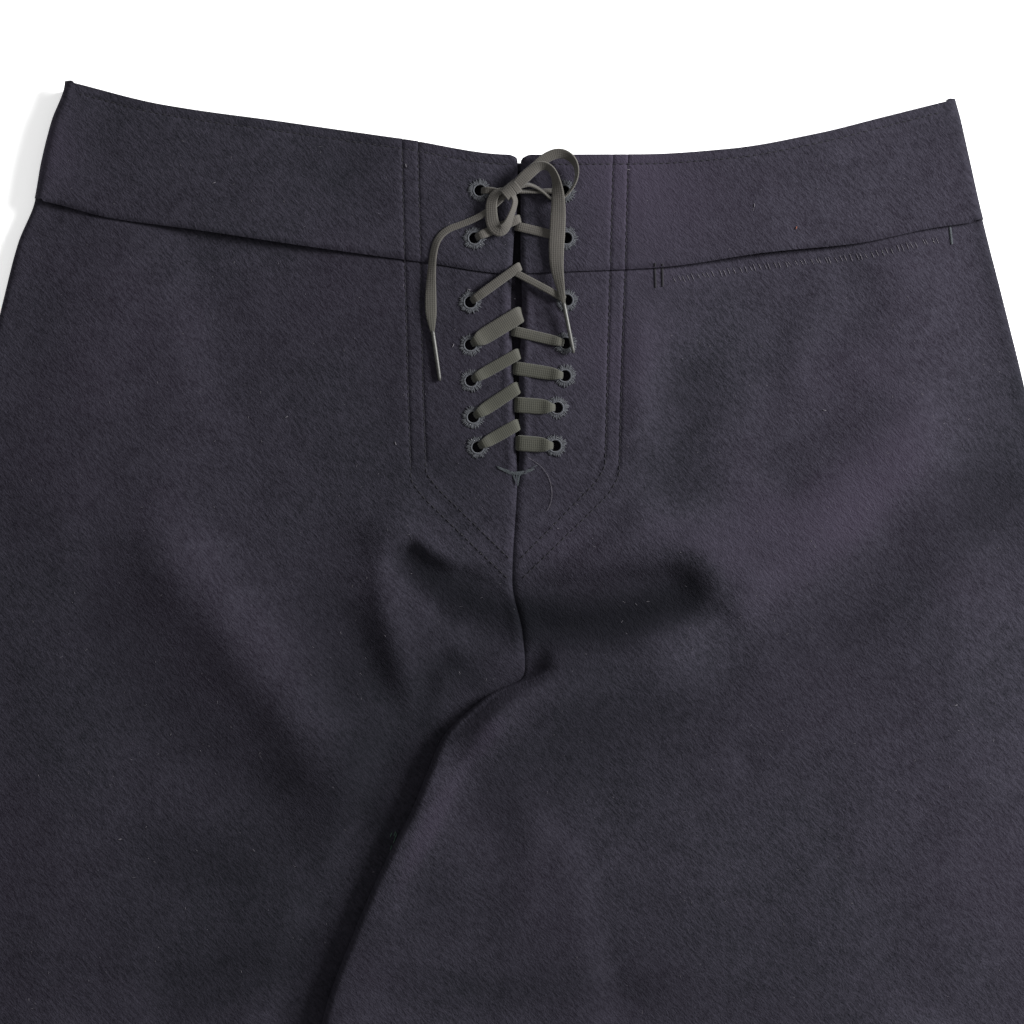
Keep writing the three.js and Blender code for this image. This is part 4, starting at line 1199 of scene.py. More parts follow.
@dataclass
class Lace:
    """A length of flat lace laid along stations of x, y, height, width and tilt.

    The tilt is in degrees: 0 lies flat and 90 stands on its edge.
    """

    name: str
    stations: Rows
    thickness: float = 0.9
    columns: int = 7
    pitch: float = 0.7
    passes: int = 3
    crown: float = 0.16

    def ways(self, path: Array, tilts: Array) -> Array:
        """The way across the lace at each station, which never flips from one to the next."""
        ways = np.zeros_like(path)
        last = np.array([0.0, 1.0, 0.0])
        for i, tilt in enumerate(np.radians(tilts)):
            along = path[min(i + 1, len(path) - 1)] - path[max(i - 1, 0)]
            level = np.array([-along[1], along[0], 0.0])
            size = np.linalg.norm(level)
            level = level / size if size > 1e-6 else last
            level = level if level @ last >= 0 or i == 0 else -level
            last = level
            up = np.cross(along / np.linalg.norm(along), level)
            ways[i] = level * math.cos(tilt) + up * math.sin(tilt)
        return ways

    def line(self) -> Array:
        """The lace's middle line with its width and its way across: x, y, z, width and across."""
        coarse = np.array(self.stations, float)
        path = coarse[:, :3]
        ways = self.ways(path, coarse[:, 4])
        line = rounded(np.concatenate([path, coarse[:, 3:4], ways], axis=1), self.passes)
        return resampled(line, self.pitch)

    def points(self, line: Array) -> tuple[Array, Array]:
        """The lace's middle surface, gently crowned, with the pattern's place at each point."""
        path, width, across = line[:, :3], line[:, 3], line[:, 4:7]
        along = np.gradient(path, axis=0)
        along /= np.linalg.norm(along, axis=1, keepdims=True)
        across = across - along * np.sum(across * along, axis=1, keepdims=True)
        across /= np.linalg.norm(across, axis=1, keepdims=True)
        out = np.cross(along, across)
        share = np.linspace(-1, 1, self.columns)
        spread = share[:, None, None] * (across * width[:, None] / 2)[None]
        crown = ((1 - share**2) * self.crown)[:, None, None] * out[None]
        uv = np.broadcast_arrays(run_along(path)[None], share[:, None] * width[None] / 2)
        return path[None] + spread + crown, np.stack(uv, axis=-1) * MM

    def build(self, material: Material, *nodes: str) -> Thing:
        """Makes and dresses the lace.

        Args:
            material: Its finish.
            nodes: The solids that it stands for.

        Returns:
            The object.
        """
        made = Piece.grid(self.name, *self.points(self.line()))
        Piece.soft_wall(made, self.thickness, 1)
        return Piece.finish(made, Slot.LACE, material, *nodes)

    def path(self) -> list[list[float]]:
        """The lace's middle line in metres."""
        return (self.line()[:, :3] * MM).tolist()

    def length(self) -> float:
        """The lace's length in metres."""
        return float(run_along(self.line()[:, :3])[-1]) * MM


def strand(form: Form, start: Sequence[float], end: Sequence[float], radius: float, sides: int = 6) -> None:
    """Adds one short thread, thick in its middle, to a bmesh.

    Args:
        form: The bmesh, in metres.
        start: Where it begins, in millimetres.
        end: Where it ends.
        radius: Its half thickness.
        sides: Faces round it.
    """
    a, b = Vector(start) * MM, Vector(end) * MM
    way = b - a
    size = Matrix.Diagonal((radius * MM, radius * MM, way.length / 2, 1.0))
    turn = way.to_track_quat("Z", "Y").to_matrix().to_4x4()
    place = Matrix.Translation((a + b) / 2) @ turn @ size
    bmesh.ops.create_uvsphere(form, u_segments=sides, v_segments=4, radius=1.0, matrix=place)


def strands(form: Form, starts: Array, ends: Array, radius: float, sides: int = 6) -> None:
    """Adds a short thread from each start to its end. See strand."""
    for start, end in zip(starts, ends):
        strand(form, start, end, radius, sides)


@dataclass
class Stage:
    """The pale floor, the soft light and the camera over the laced back."""

    middle: Point = (0.0, 340.15)
    frame_width: float = 460.8
    height: float = 1250.0
    plane: float = 12.0

    def camera(self) -> None:
        """Sets the camera straight above the middle of the picture."""
        data = bpy.data.cameras.new("camera")
        data.sensor_width = 36.0
        data.lens = 36.0 * self.height / self.frame_width
        made = bpy.data.objects.new("camera", data)
        made.location = (self.middle[0] * MM, self.middle[1] * MM, (self.plane + self.height) * MM)
        bpy.context.scene.collection.objects.link(made)
        bpy.context.scene.camera = made

    def floor(self) -> None:
        """Lays a plain pale floor under the garment."""
        form = bmesh.new()
        bmesh.ops.create_grid(form, x_segments=1, y_segments=1, size=6.0)
        bmesh.ops.translate(form, verts=form.verts, vec=(0.0, 0.0, -0.0003))
        made = Piece.from_form("floor", form)
        shader = Shader("pale_floor")
        made.data.materials.append(
            shader.settle({
                "Base Color": (0.93, 0.93, 0.93, 1.0), "Roughness": 0.9, "Specular IOR Level": 0.1,
                "Emission Color": (1.0, 1.0, 1.0, 1.0), "Emission Strength": 0.42,
            })
        )

    def light(
        self, name: str, place: Sequence[float], aim: Sequence[float], size: float, power: float
    ) -> None:
        """Adds a soft square light.

        Args:
            name: Its name.
            place: Where it stands, in metres.
            aim: What it looks at.
            size: Its side in metres.
            power: Its power in watts.
        """
        data = bpy.data.lights.new(name, "AREA")
        data.size = size
        data.energy = power
        made = bpy.data.objects.new(name, data)
        made.location = place
        made.rotation_euler = (Vector(aim) - Vector(place)).to_track_quat("-Z", "Y").to_euler()
        bpy.context.scene.collection.objects.link(made)

    def lights(self) -> None:
        """Sets a low soft light on the right, a weak one overhead and an even pale surround."""
        world = bpy.data.worlds.new("studio")
        world.use_nodes = True
        back = world.node_tree.nodes["Background"]
        back.inputs["Color"].default_value = (1.0, 1.0, 1.0, 1.0)
        back.inputs["Strength"].default_value = 0.34
        bpy.context.scene.world = world
        self.light("key", (1.52, 0.86, 0.70), (0.04, 0.40, 0.0), 0.58, 88.0)
        self.light("sky", (-0.1, 0.5, 1.8), (0.0, 0.2, 0.0), 1.2, 4.0)
        bpy.context.scene.view_settings.view_transform = "Standard"


@dataclass
class LegBack:
    """The back of one leg, from the waist seam to the hem."""

    side: Side
    finishes: Finishes
    columns: tuple[int, int, int] = (88, 30, 24)
    turn_columns: int = 5
    roll_columns: int = 14
    roll_reach: float = 13.0
    roll_ease: float = 13.0
    tuck_radii: float = 2.7
    edge_width: float = 5.2
    edge_steps: Sequence[float] = (3.9, 2.7, 1.7, 0.8, 0.0)
    crotch_clear: float = 8.0
    crotch_ease: float = 24.0
    levels: Array = field(default_factory=lambda: graded(BACK_LEVELS, 460.0)[::-1])

    @property
    def turned(self) -> float:
        """Width of the turn at a side seam."""
        return LIE.layers.cloth / 2 + LIE.layers.side_roll

    def facing_stop(self, row: int, outward: int) -> Reader:
        """A column just outward, or with a sign of -1 inward, of a row of the facing's stitching."""
        track = LIE.facing_track(self.side, row)
        margin = self.side.outward * outward * FACING_CLEAR

        def stop(y: Array) -> Array:
            """x of the column at each y."""
            return track(np.maximum(y, FACING_FOOT)) + margin

        return stop

    def row(self, x: Array) -> Array:
        """The rows' levels at each x."""
        return LIE.row(self.levels[:, None], x)

    def edge(self, reader: Reader) -> tuple[Array, Array]:
        """Where the rows meet an edge."""
        return crossing(reader, self.row, (len(self.levels), 1))

    def turns(self, inward: int, angles: Array) -> list[Array]:
        """The columns of the turn at the side seam."""
        layers = LIE.layers
        return LIE.side_turns(*self.edge(LIE.side(self.side)), inward, layers.side_roll, layers.cloth, angles)

    def height(self, x: Array, y: Array) -> Array:
        """Middle height with the press of seams and stitching."""
        rise = LIE.left(x, y) if self.side is Side.LEFT else LIE.right(x, y)
        return rise - LIE.pressed(x, y)

    def width(self, stops: Sequence[Reader], counts: Sequence[int]) -> Array:
        """The panel's points across its width, before the seat's dip."""
        column, count = shares_between(stops, counts)
        x, y = crossing(column, self.row, (len(self.levels), count))
        return np.stack([x, y, self.height(x, y)], axis=-1)

    def inside_leg(self, y: Array) -> Array:
        """The share of the left leg's inner edge that is a turned seam at y, not the opening's edge."""
        return smooth((LIE.crotch + self.crotch_clear - y) / self.crotch_ease)

    def left_last(self, y: Array) -> Array:
        """Where the left leg's width ends and its inner edge begins."""
        return LIE.middle_left(y) - mix(self.edge_width, self.turned, self.inside_leg(y))

    def inner_edge(self, back: float, fall: Array) -> Array:
        """One column of the left leg's inner edge.

        Args:
            back: How far it lies from the edge.
            fall: How much higher than a plain turned seam the width ends.

        Returns:
            Its points.
        """
        layers = LIE.layers
        x, y = self.edge(LIE.middle_left)
        angle = math.pi / 2 * back / self.edge_width
        flat_x = x - back
        flat_z = self.height(flat_x, y) - LIE.seat_dip(x - flat_x, y)
        turn = LIE.side_turn(x, y, -1, layers.side_roll, layers.cloth, angle)
        turn[..., 2] += fall * math.sin(angle)
        return mix(np.stack([flat_x, y, flat_z], axis=-1), turn, self.inside_leg(self.levels)[:, None, None])

    def left_points(self) -> Array:
        """The left leg: its side turn, its width and the edge beside the opening or inside the leg."""
        angles = np.linspace(0, math.pi / 2, self.turn_columns + 1)[:-1]
        side = shifted(LIE.side_left, self.turned)
        stops = (side, self.facing_stop(0, 1), self.facing_stop(1, -1), self.left_last)
        width = self.width(stops, self.columns)
        x, y = width[..., 0], width[..., 1]
        width[..., 2] -= LIE.seat_dip(LIE.middle_left(y) - x, y)
        fall = (width[:, -1:, 2] - LIE.layers.side_middle) * self.inside_leg(self.levels)[:, None]
        edges = [self.inner_edge(back, fall) for back in self.edge_steps]
        return np.concatenate([*self.turns(1, angles), width, *edges], axis=1)

    def roll(self) -> list[Array]:
        """The right leg's inner edge by columns: flat beside the opening, and rolled under below it."""
        layers = LIE.layers
        edge, y = self.edge(LIE.middle_right)
        rolled = smooth((LIE.fold_start - self.levels) / self.roll_ease)[:, None, None]
        under = layers.crossing_lift * LIE.crossing(y) + layers.cloth / 2
        radius = (LIE.right(edge, y) - under) / 2
        start_height = LIE.left(LIE.middle_left(y), y)
        tuck = LIE.tuck_end(y)
        count = self.roll_columns
        columns = []
        for j in range(count + 1):
            flat_x = tuck + self.roll_reach * j / count
            flat_z = mix(start_height - LIE.pressed(flat_x, y), self.height(flat_x, y), smooth(j / count))
            flat_z = flat_z - LIE.seat_dip(flat_x - tuck, y)
            angle = math.pi / 2 + (count - j) / (count - 1) * math.pi
            turn_x = edge + layers.cloth / 2 + radius * (1 + math.cos(angle))
            turn_z = under + radius * (1 + math.sin(angle))
            if j == 0:
                turn_x = np.maximum(tuck, edge + layers.cloth / 2 + radius * self.tuck_radii)
                turn_z = under
            flat = np.stack([flat_x, y, flat_z], axis=-1)
            columns.append(mix(flat, np.stack([turn_x, y, turn_z], axis=-1), rolled))
        return columns

    def right_points(self) -> Array:
        """The right leg: the edge that has turned under, its width and its side turn."""
        roll = self.roll()
        start = roll[-1][:, :1, 0] - self.edge(LIE.middle_right)[0]
        side = shifted(LIE.side_right, -self.turned)
        stops = (shifted(LIE.middle_right, start), self.facing_stop(1, -1), self.facing_stop(0, 1), side)
        width = self.width(stops, self.columns[::-1])[:, 1:]
        angles = np.linspace(math.pi / 2, 0, self.turn_columns + 1)[1:]
        return np.concatenate([*roll, width, *self.turns(-1, angles)], axis=1)

    def build(self) -> None:
        """Makes the panel with its eyelet holes."""
        points = self.left_points() if self.side is Side.LEFT else self.right_points()
        # the panel carries the painted shade for its wool
        made = Piece.cloth(f"back_leg_{self.side.value}", points, LIE.painted_shade)
        cut_holes(made, holes(self.side)[BAND_ROWS:])
        Piece.wall(made, LIE.layers.cloth)
        Piece.cut(made, points, [f"front_leg_{self.side.value}"])
        Piece.finish(made, Slot.WOOL, self.finishes.wool, f"leg_back_{self.side.value}")


def cut_holes(made: Thing, places: Sequence[Point], radius: float = 3.1, near: float = 5.3) -> None:
    """Takes the faces away that lie in each eyelet's hole and draws their edge to a circle.

    Args:
        made: A single layer of cloth.
        places: The middles of the holes.
        radius: The holes' radius.
        near: How far from the middle the edge that is drawn in can lie.
    """
    form = bmesh.new()
    form.from_mesh(made.data)
    for x, y in places:
        middle = Vector((x * MM, y * MM))
        inside = [f for f in form.faces if (f.calc_center_median().xy - middle).length < radius * MM]
        bmesh.ops.delete(form, geom=inside, context="FACES")
        for vert in form.verts:
            way = vert.co.xy - middle
            if vert.is_boundary and way.length < near * MM:
                vert.co.xy = middle + way.normalized() * radius * MM
    form.to_mesh(made.data)
    form.free()


@dataclass
class Waistband:
    """One half of the waistband: its back, which turns down at the side, and its front under it."""

    side: Side
    finishes: Finishes
    corner: float = 4.0
    turn_columns: int = 6
    front_rows: int = 16
    front_seam: float = 0.5
    edge_fall: float = 0.9
    edge_reach: float = 1.8
    back_rows: Array = field(
        default_factory=lambda: np.concatenate(
            [np.linspace(0, 0.06, 5), np.linspace(0.06, 0.86, 22)[1:], np.linspace(0.86, 1, 14)[1:]]
        )
    )

    def rounded_edge(self, x: Array) -> Array:
        """The upper edge, rounded off beside the opening."""
        middle = float(LIE.middle(self.side)(LIE.layers.top))
        near = np.clip(1 - np.abs(x - middle) / self.corner, 0, 1)
        return LIE.waist_edge(x) - self.corner * (1 - np.sqrt(1 - near**2))

    def back_row(self, x: Array) -> Array:
        """Levels of the back's rows at each x."""
        return mix(LIE.waist_seam(x) + LIE.seam_half, self.rounded_edge(x), self.back_rows[:, None])

    def front_row(self, x: Array) -> Array:
        """Levels of the front's rows at each x."""
        low, high = LIE.waist_seam(x) + self.front_seam, LIE.waist_edge(x) - LIE.layers.band
        return mix(low, high, np.linspace(0, 1, self.front_rows)[:, None])

    def back_points(self) -> Array:
        """The back half, rows from the seam up."""
        layers = LIE.layers
        side, middle = LIE.side(self.side), LIE.middle(self.side)
        inward = -self.side.outward
        rows = len(self.back_rows)
        turned = layers.band / 2 + layers.band_roll
        angles = np.linspace(0, math.pi / 2, self.turn_columns + 1)[:-1]
        seam = crossing(side, self.back_row, (rows, 1))
        turns = LIE.side_turns(*seam, inward, layers.band_roll, layers.band, angles)
        stops = (
            shifted(side, inward * turned),
            shifted(LIE.facing_track(self.side, 0), -inward * FACING_CLEAR),
            shifted(LIE.facing_track(self.side, 1), inward * FACING_CLEAR),
            shifted(middle, -inward * self.corner),
            middle,
        )
        column, count = shares_between(stops, (72, 30, 22, 7))
        x, y = crossing(column, self.back_row, (rows, count))
        fall = self.edge_fall * (1 - smooth(np.abs(middle(y) - x) / self.edge_reach))
        z = LIE.band(self.side, x, y) - LIE.pressed(x, y) - fall
        points = np.concatenate([*turns, np.stack([x, y, z], axis=-1)], axis=1)
        return points if inward > 0 else points[:, ::-1]

    def front_points(self) -> Array:
        """The front half under it, rows from the seam up."""
        out = self.side.outward
        stops = (
            shifted(np.zeros_like, out * LIE.seam_half), shifted(LIE.ramp_start, 0.0, out),
            shifted(LIE.ramp_end, 0.0, out), LIE.side(self.side),
        )
        column, count = shares_between(stops, (40, 14, 30))
        x, y = crossing(column, self.front_row, (self.front_rows, count))
        z = LIE.layers.band / 2 + LIE.flap_lift(x, y)
        points = np.stack([x, y, z], axis=-1)
        return points if out > 0 else points[:, ::-1]

    def build(self) -> None:
        """Makes the back and the front."""
        name = self.side.value
        back_points, front_points = self.back_points(), self.front_points()
        # the band carries the painted shade for its wool
        back = Piece.cloth(f"waistband_{name}", back_points, LIE.painted_shade)
        cut_holes(back, holes(self.side)[:BAND_ROWS])
        Piece.wall(back, LIE.layers.band, 1.1, 4)
        front = Piece.cloth(f"waistband_front_inside_{name}", front_points)
        Piece.wall(front, LIE.layers.band, 1.0, 3)
        Piece.cut(back, back_points, [front.name, "gusset_cloth"])
        Piece.cut(front, front_points, ["front_flap_cloth"])
        Piece.finish(back, Slot.WOOL, self.finishes.wool, f"waistband_back_{name}")
        Piece.finish(front, Slot.WOOL, self.finishes.wool, f"waistband_front_{name}")


@dataclass
class LegFront:
    """The front of one leg, under the back, flat where it lies on the surface."""

    side: Side
    finishes: Finishes
    hidden_seam: float = -0.05
    band_seam: float = 0.5
    levels: Array = field(default_factory=lambda: graded(FRONT_LEVELS, 460.0)[::-1])

    def left_middle(self, y: Array) -> Array:
        """The left front's inner edge."""
        return np.where(y > LIE.crotch, LIE.tuck_end(y), LIE.middle_left(y)) - self.hidden_seam

    def crossed(self, y: Array) -> Array:
        """The inner edge of whatever the right front lies on."""
        return np.maximum(LIE.middle_left(np.minimum(y, LIE.crotch)), LIE.tuck_end(y))

    def stops(self) -> tuple[tuple[Reader, ...], tuple[int, ...]]:
        """The columns' stops and how many columns lie between them."""
        if self.side is Side.LEFT:
            ramp = (shifted(LIE.ramp_end, 0.0, -1), shifted(LIE.ramp_start, 0.0, -1))
            return (LIE.side_left, *ramp, self.left_middle), (26, 12, 24)
        return (
            shifted(LIE.tuck_end, self.hidden_seam),
            shifted(self.crossed, LIE.crossing_reach - LIE.crossing_ease),
            shifted(self.crossed, LIE.crossing_reach),
            LIE.ramp_start, LIE.ramp_end, LIE.side_right,
        ), (6, 12, 10, 12, 24)

    def row(self, x: Array) -> Array:
        """Levels of the rows at each x."""
        levels = self.levels[:, None]
        share = smooth((levels - (LIE.seam_mean - LIE.seam_fade)) / LIE.seam_fade)
        return levels + (LIE.waist_seam(x) - self.band_seam - LIE.seam_mean) * share

    def build(self) -> None:
        """Makes the panel."""
        cloth = LIE.layers.cloth
        column, count = shares_between(*self.stops())
        x, y = crossing(column, self.row, (len(self.levels), count))
        lift = LIE.crossing_lift(x, y) if self.side is Side.RIGHT else 0.0
        points = np.stack([x, y, cloth / 2 + np.maximum(LIE.flap_lift(x, y), lift)], axis=-1)
        made = Piece.cloth(f"front_leg_{self.side.value}", points)
        Piece.wall(made, cloth)
        Piece.cut(made, points, ["front_flap_cloth"])
        Piece.finish(made, Slot.WOOL, self.finishes.wool, f"leg_front_{self.side.value}")


@dataclass
class Underlay:
    """The gusset behind the lacing and the buttoned front flap, both flat cloth."""

    finishes: Finishes
    gusset: Rows = ((338, -23, 29), (494, -33, 39))
    flap: Rows = (
        (312, -92, 92), (470, -110.2, 110.2), (476, -110.4, 110.4), (482, -107, 107), (486, -97, 97),
    )

    def panel(
        self, name: str, outline: Rows, under: float, thickness: float, rests_on: Sequence[str]
    ) -> None:
        """A flat panel.

        Args:
            name: The solid that it stands for.
            outline: Rows from the foot up, as y, left and right.
            under: Height of its lower side.
            thickness: Its thickness.
            rests_on: What it lies on.
        """
        level, left, right = zip(*outline)
        y = np.linspace(level[0], level[-1], 60)[:, None]
        share = np.linspace(0, 1, 44)[None]
        x = mix(np.interp(y, level, left), np.interp(y, level, right), share)
        points = np.stack(np.broadcast_arrays(x, y, np.full_like(x, under + thickness / 2)), axis=-1)
        made = Piece.cloth(f"{name}_cloth", points)
        Piece.wall(made, thickness, 0.35)
        Piece.cut(made, points, rests_on)
        # the darker wool, painted shade
        Piece.finish(made, Slot.WOOL, self.finishes.painted_dark_wool, name)

    def build(self) -> None:
        """Makes both."""
        layers = LIE.layers
        legs = ["front_leg_left", "front_leg_right"]
        self.panel("gusset", self.gusset, layers.gusset_under, layers.gusset, legs)
        self.panel("front_flap", self.flap, layers.flap_under, layers.cloth, ["button_1", "button_13"])


@dataclass
class Eyelets:
    """The worked eyelets: a bead of thread round each hole and stitches that stand round it."""

    finishes: Finishes
    inner: float = 2.75
    outer: float = 5.3
    stitches: int = 46
    thread: float = 0.27
    bead_radius: float = 0.42
    wall: float = 0.3
    segments: int = 28

    def stitch(self, form: Form, middle: Vector, chance: np.random.Generator) -> None:
        """Adds the stitches that stand round the hole, a little uneven.

        Args:
            form: The bmesh that takes them.
            middle: The middle of the hole on the cloth's upper side.
            chance: Where the unevenness comes from.
        """
        for k in range(self.stitches):
            angle = 2 * math.pi * (k + chance.uniform(-0.2, 0.2)) / self.stitches
            way = Vector((math.cos(angle), math.sin(angle), 0.0))
            reach = self.outer + chance.uniform(-0.8, 0.5)
            low = middle + Vector((0, 0, 0.45)) + way * (self.inner - 0.2)
            high = middle + Vector((0, 0, 0.25 + chance.uniform(-0.1, 0.15))) + way * reach
            strand(form, low, high, self.thread + chance.uniform(-0.06, 0.06))

    def bead(self, form: Form, middle: Vector) -> None:
        """Adds the round bead of thread at the hole's rim."""
        radius = self.bead_radius * MM
        ring = bmesh.ops.create_circle(form, cap_ends=False, segments=8, radius=radius)["verts"]
        bmesh.ops.rotate(form, verts=ring, cent=(0, 0, 0), matrix=Matrix.Rotation(math.pi / 2, 3, "X"))
        side = middle + Vector((self.inner + 0.1, 0, self.bead_radius))
        bmesh.ops.translate(form, verts=ring, vec=side * MM)
        edges = list({edge for vert in ring for edge in vert.link_edges})
        bmesh.ops.spin(
            form, geom=ring + edges, cent=middle * MM, axis=(0, 0, 1), angle=2 * math.pi,
            steps=self.segments, use_merge=True,
        )

    def lining(self, form: Form, middle: Vector, thickness: float) -> None:
        """Adds the thread that lines the hole through the cloth's thickness."""
        tube = bmesh.ops.create_cone(
            form, cap_ends=False, segments=self.segments, radius1=(self.inner + 0.25) * MM,
            radius2=(self.inner + 0.1) * MM, depth=(thickness + 0.4) * MM,
            matrix=Matrix.Translation((middle - Vector((0, 0, thickness / 2))) * MM),
        )["verts"]
        walls = list({face for vert in tube for face in vert.link_faces})
        bmesh.ops.solidify(form, geom=walls, thickness=self.wall * MM)

    def build_one(self, side: Side, index: int) -> None:
        """Makes the eyelet on a side and in a row, counted from the waist down."""
        thickness = LIE.layers.band if index < BAND_ROWS else LIE.layers.cloth
        middle = Vector((*holes(side)[index], LIE.layers.back_under + thickness))
        form = bmesh.new()
        self.stitch(form, middle, np.random.default_rng(100 * index + (side is Side.RIGHT)))
        self.bead(form, middle)
        self.lining(form, middle, thickness)
        bmesh.ops.recalc_face_normals(form, faces=form.faces)
        name = f"{side.value}_{index + 1}"
        Piece.sewn(f"worked_eyelet_{name}", form, self.finishes.eyelet_thread, f"eyelet_{name}")

    def build(self) -> None:
        """Makes them all."""
        for side in Side:
            for index in range(len(EYELETS)):
                self.build_one(side, index)


@dataclass
class Lacing:
    """The flat lace threaded through the eyelets, with its knot, two loops and two free ends."""

    finishes: Finishes
    rim_lift: float = 1.55
    band_foot: float = 446.0
    wrap_width: float = 3.0
    # A tip's radius at shares of its length
    tip_profile: Sequence[Point] = (
        (0.03, 0.95), (0.08, 0.98), (0.1, 0.86), (0.12, 0.96), (0.5, 0.92), (0.93, 0.84), (0.985, 0.6),
        (1.0, 0.25),
    )
    # The knot's turns: how far each is from the knot's middle, how much it leans and its size
    turns: Rows = (
        (-2.3, 0.5, 1.0), (0.3, -0.2, 1.0), (2.8, 0.35, 1.0), (-1.4, 0.3, 0.62), (1.4, 0.2, 0.6),
        (0.2, 0.1, 0.3),
    )
    # Where each run drops into the opening and how wide it is, by side, from the second eyelet down
    runs: Sequence[Sequence[Point]] = (
        ((472.0, 4.2), (450.6, 4.2), (429.2, 7.8), (411.4, 5.4), (396.2, 6.0), (379.6, 5.6)),
        ((468.6, 4.2), (448.2, 3.2), (421.6, 4.8), (404.9, 6.2), (388.4, 7.2), (371.2, 7.2)),
    )

    @property
    def band_face(self) -> float:
        """Height of the waistband's upper side."""
        return LIE.layers.back_under + LIE.layers.band

    def face(self, y: float) -> float:
        """Height of the cloth's upper side beside the opening at y."""
        return self.band_face if y > self.band_foot else LIE.layers.back_under + LIE.layers.cloth

    def run(self, side: Side, index: int) -> list[list[float]]:
        """Stations of one run from under its eyelet, over the cloth and down through the opening."""
        hidden = LIE.layers.lace_hidden
        start = np.array(holes(side)[index])
        drop, wide = self.runs[side is Side.RIGHT][index - 1]
        face, lip = self.face(start[1]), self.face(drop)
        over, mid = face + self.rim_lift, max(face, lip) + 0.75
        other = LIE.middle(Side.RIGHT if side is Side.LEFT else Side.LEFT)
        end = np.array((float(other(drop)) + side.outward * 1.0, drop))
        way = (end - start) / np.linalg.norm(end - start)
        near, far = start + way * 4.4, start + way * 7.4
        return [
            [*(start + way * 1.0), hidden, 3.2, 0], [*(start + way * 1.3), face - 0.7, 3.2, 0],
            [*(start + way * 2.2), over, 3.5, 0], [*near, over + 0.1, mix(3.5, wide, 0.7), 0],
            [*far, mid, wide, 0], [*((far + end) / 2), mid, wide, 0],
            [*(end - way * 1.6), lip + 0.7, wide, 0], [*end, lip - 0.2, wide * 0.96, 0],
            [end[0] + way[0] * 0.3, end[1], hidden, wide * 0.8, 0],
        ]

    def lead(self, side: Side) -> list[list[float]]:
        """Stations of the short length from a topmost eyelet to the knot."""
        hidden, face = LIE.layers.lace_hidden, self.band_face
        x, y = holes(side)[0]
        inward = -side.outward
        return [
            [x + inward * 1.0, y, hidden, 3.0, 0], [x + inward * 1.2, y, face, 3.0, 0],
            [x + inward * 2.4, y, face + 1.5, 3.2, 15], [x + inward * 5.8, y, face + 1.3, 3.4, 50],
            [-1.4 - inward * 3.4, 483.8, face + 2.4, 3.0, 60],
        ]

    def build_runs(self) -> None:
        """Makes each visible run and the two leads to the knot."""
        lace = self.finishes.lace
        for side in Side:
            for index in range(1, len(EYELETS)):
                nodes = ("lacing",) if side is Side.LEFT and index == 1 else ()
                Lace(f"lacing_{side.value}_{index + 1}", self.run(side, index)).build(lace, *nodes)
        for side in Side:
            Lace(f"lacing_lead_{side.value}", self.lead(side)).build(lace)

    def bow(self) -> dict[str, Lace]:
        """The knot's wraps, the loops and the free ends."""
        loop, tail = self.band_face + 3.2, self.band_face + 0.8
        return {
            "loop_left": Lace("bow_loop_left", [
                [-3.2, 484.4, loop + 0.4, 3.6, 40], [-7.0, 483.4, loop + 0.2, 4.4, 26],
                [-9.2, 479.6, loop, 5.0, 12], [-9.4, 474.0, loop - 0.2, 5.6, 4],
                [-8.6, 468.6, loop - 0.4, 6.2, 4], [-5.6, 465.8, loop - 0.5, 6.0, 16],
                [-2.6, 468.0, loop - 0.3, 5.2, 38], [-0.8, 472.2, loop, 4.4, 54],
                [0.8, 476.4, loop + 0.2, 4.0, 58], [1.6, 480.0, loop + 0.4, 3.6, 50],
                [-0.4, 483.0, loop + 0.6, 3.2, 40],
            ]),
            "loop_right": Lace("bow_loop_right", [
                [-1.0, 484.6, loop, 3.4, 20], [4.4, 490.0, loop + 0.6, 4.4, 20],
                [10.4, 494.6, loop + 1.0, 4.6, 16], [15.2, 499.0, loop + 1.4, 4.8, 14],
                [21.4, 501.2, loop + 1.8, 4.8, 20], [27.0, 498.8, loop + 1.8, 4.2, 42],
                [29.6, 493.0, loop + 1.4, 3.8, 66], [28.0, 486.0, loop + 0.6, 3.8, 78],
                [22.6, 480.2, loop - 0.6, 3.8, 80], [18.0, 479.8, loop - 1.2, 3.6, 78],
                [14.0, 484.0, loop - 0.8, 3.6, 70], [8.0, 487.2, loop - 0.4, 3.4, 62],
                [3.6, 486.0, loop, 3.2, 50],
            ]),
            "end_left": Lace("lace_tail_left", [
                [-2.6, 482.4, loop + 0.4, 3.0, 30], [-6.6, 478.8, loop - 0.6, 3.2, 25],
                [-11.2, 474.7, tail + 1.2, 3.1, 20], [-16.0, 472.0, tail + 0.5, 3.0, 15],
                [-22.5, 469.3, tail, 3.0, 12], [-29.3, 467.0, tail, 3.2, 12],
                [-33.6, 462.6, tail, 3.4, 20], [-35.4, 456.0, tail, 3.5, 25],
                [-36.2, 447.0, tail - 0.5, 4.0, 15], [-36.6, 436.5, tail - 1.1, 5.3, 0],
                [-36.4, 429.0, tail - 1.2, 5.2, 0], [-36.0, 424.0, tail - 1.2, 3.2, 0],
                [-35.7, 421.0, tail - 1.1, 1.7, 0],
            ]),
            "end_right": Lace("lace_tail_right", [
                [0.4, 484.6, loop + 1.0, 4.4, 10], [4.0, 488.4, loop + 1.6, 5.4, 8],
                [8.4, 492.6, loop + 2.0, 5.4, 5], [12.8, 495.6, loop + 2.2, 4.6, 30],
                [17.4, 494.4, loop + 2.2, 4.0, 48], [20.0, 489.0, loop + 1.8, 4.4, 36],
                [20.8, 481.0, loop + 1.2, 6.2, 10], [20.6, 470.4, tail + 2.6, 7.2, 0],
                [19.9, 460.0, tail + 1.6, 7.2, 0], [19.9, 451.0, tail + 1.0, 6.4, 5],
                [21.3, 443.0, tail + 0.9, 4.6, 15], [22.6, 437.0, tail + 1.1, 2.8, 10],
                [23.2, 433.4, tail + 1.3, 1.6, 0],
            ]),
        }

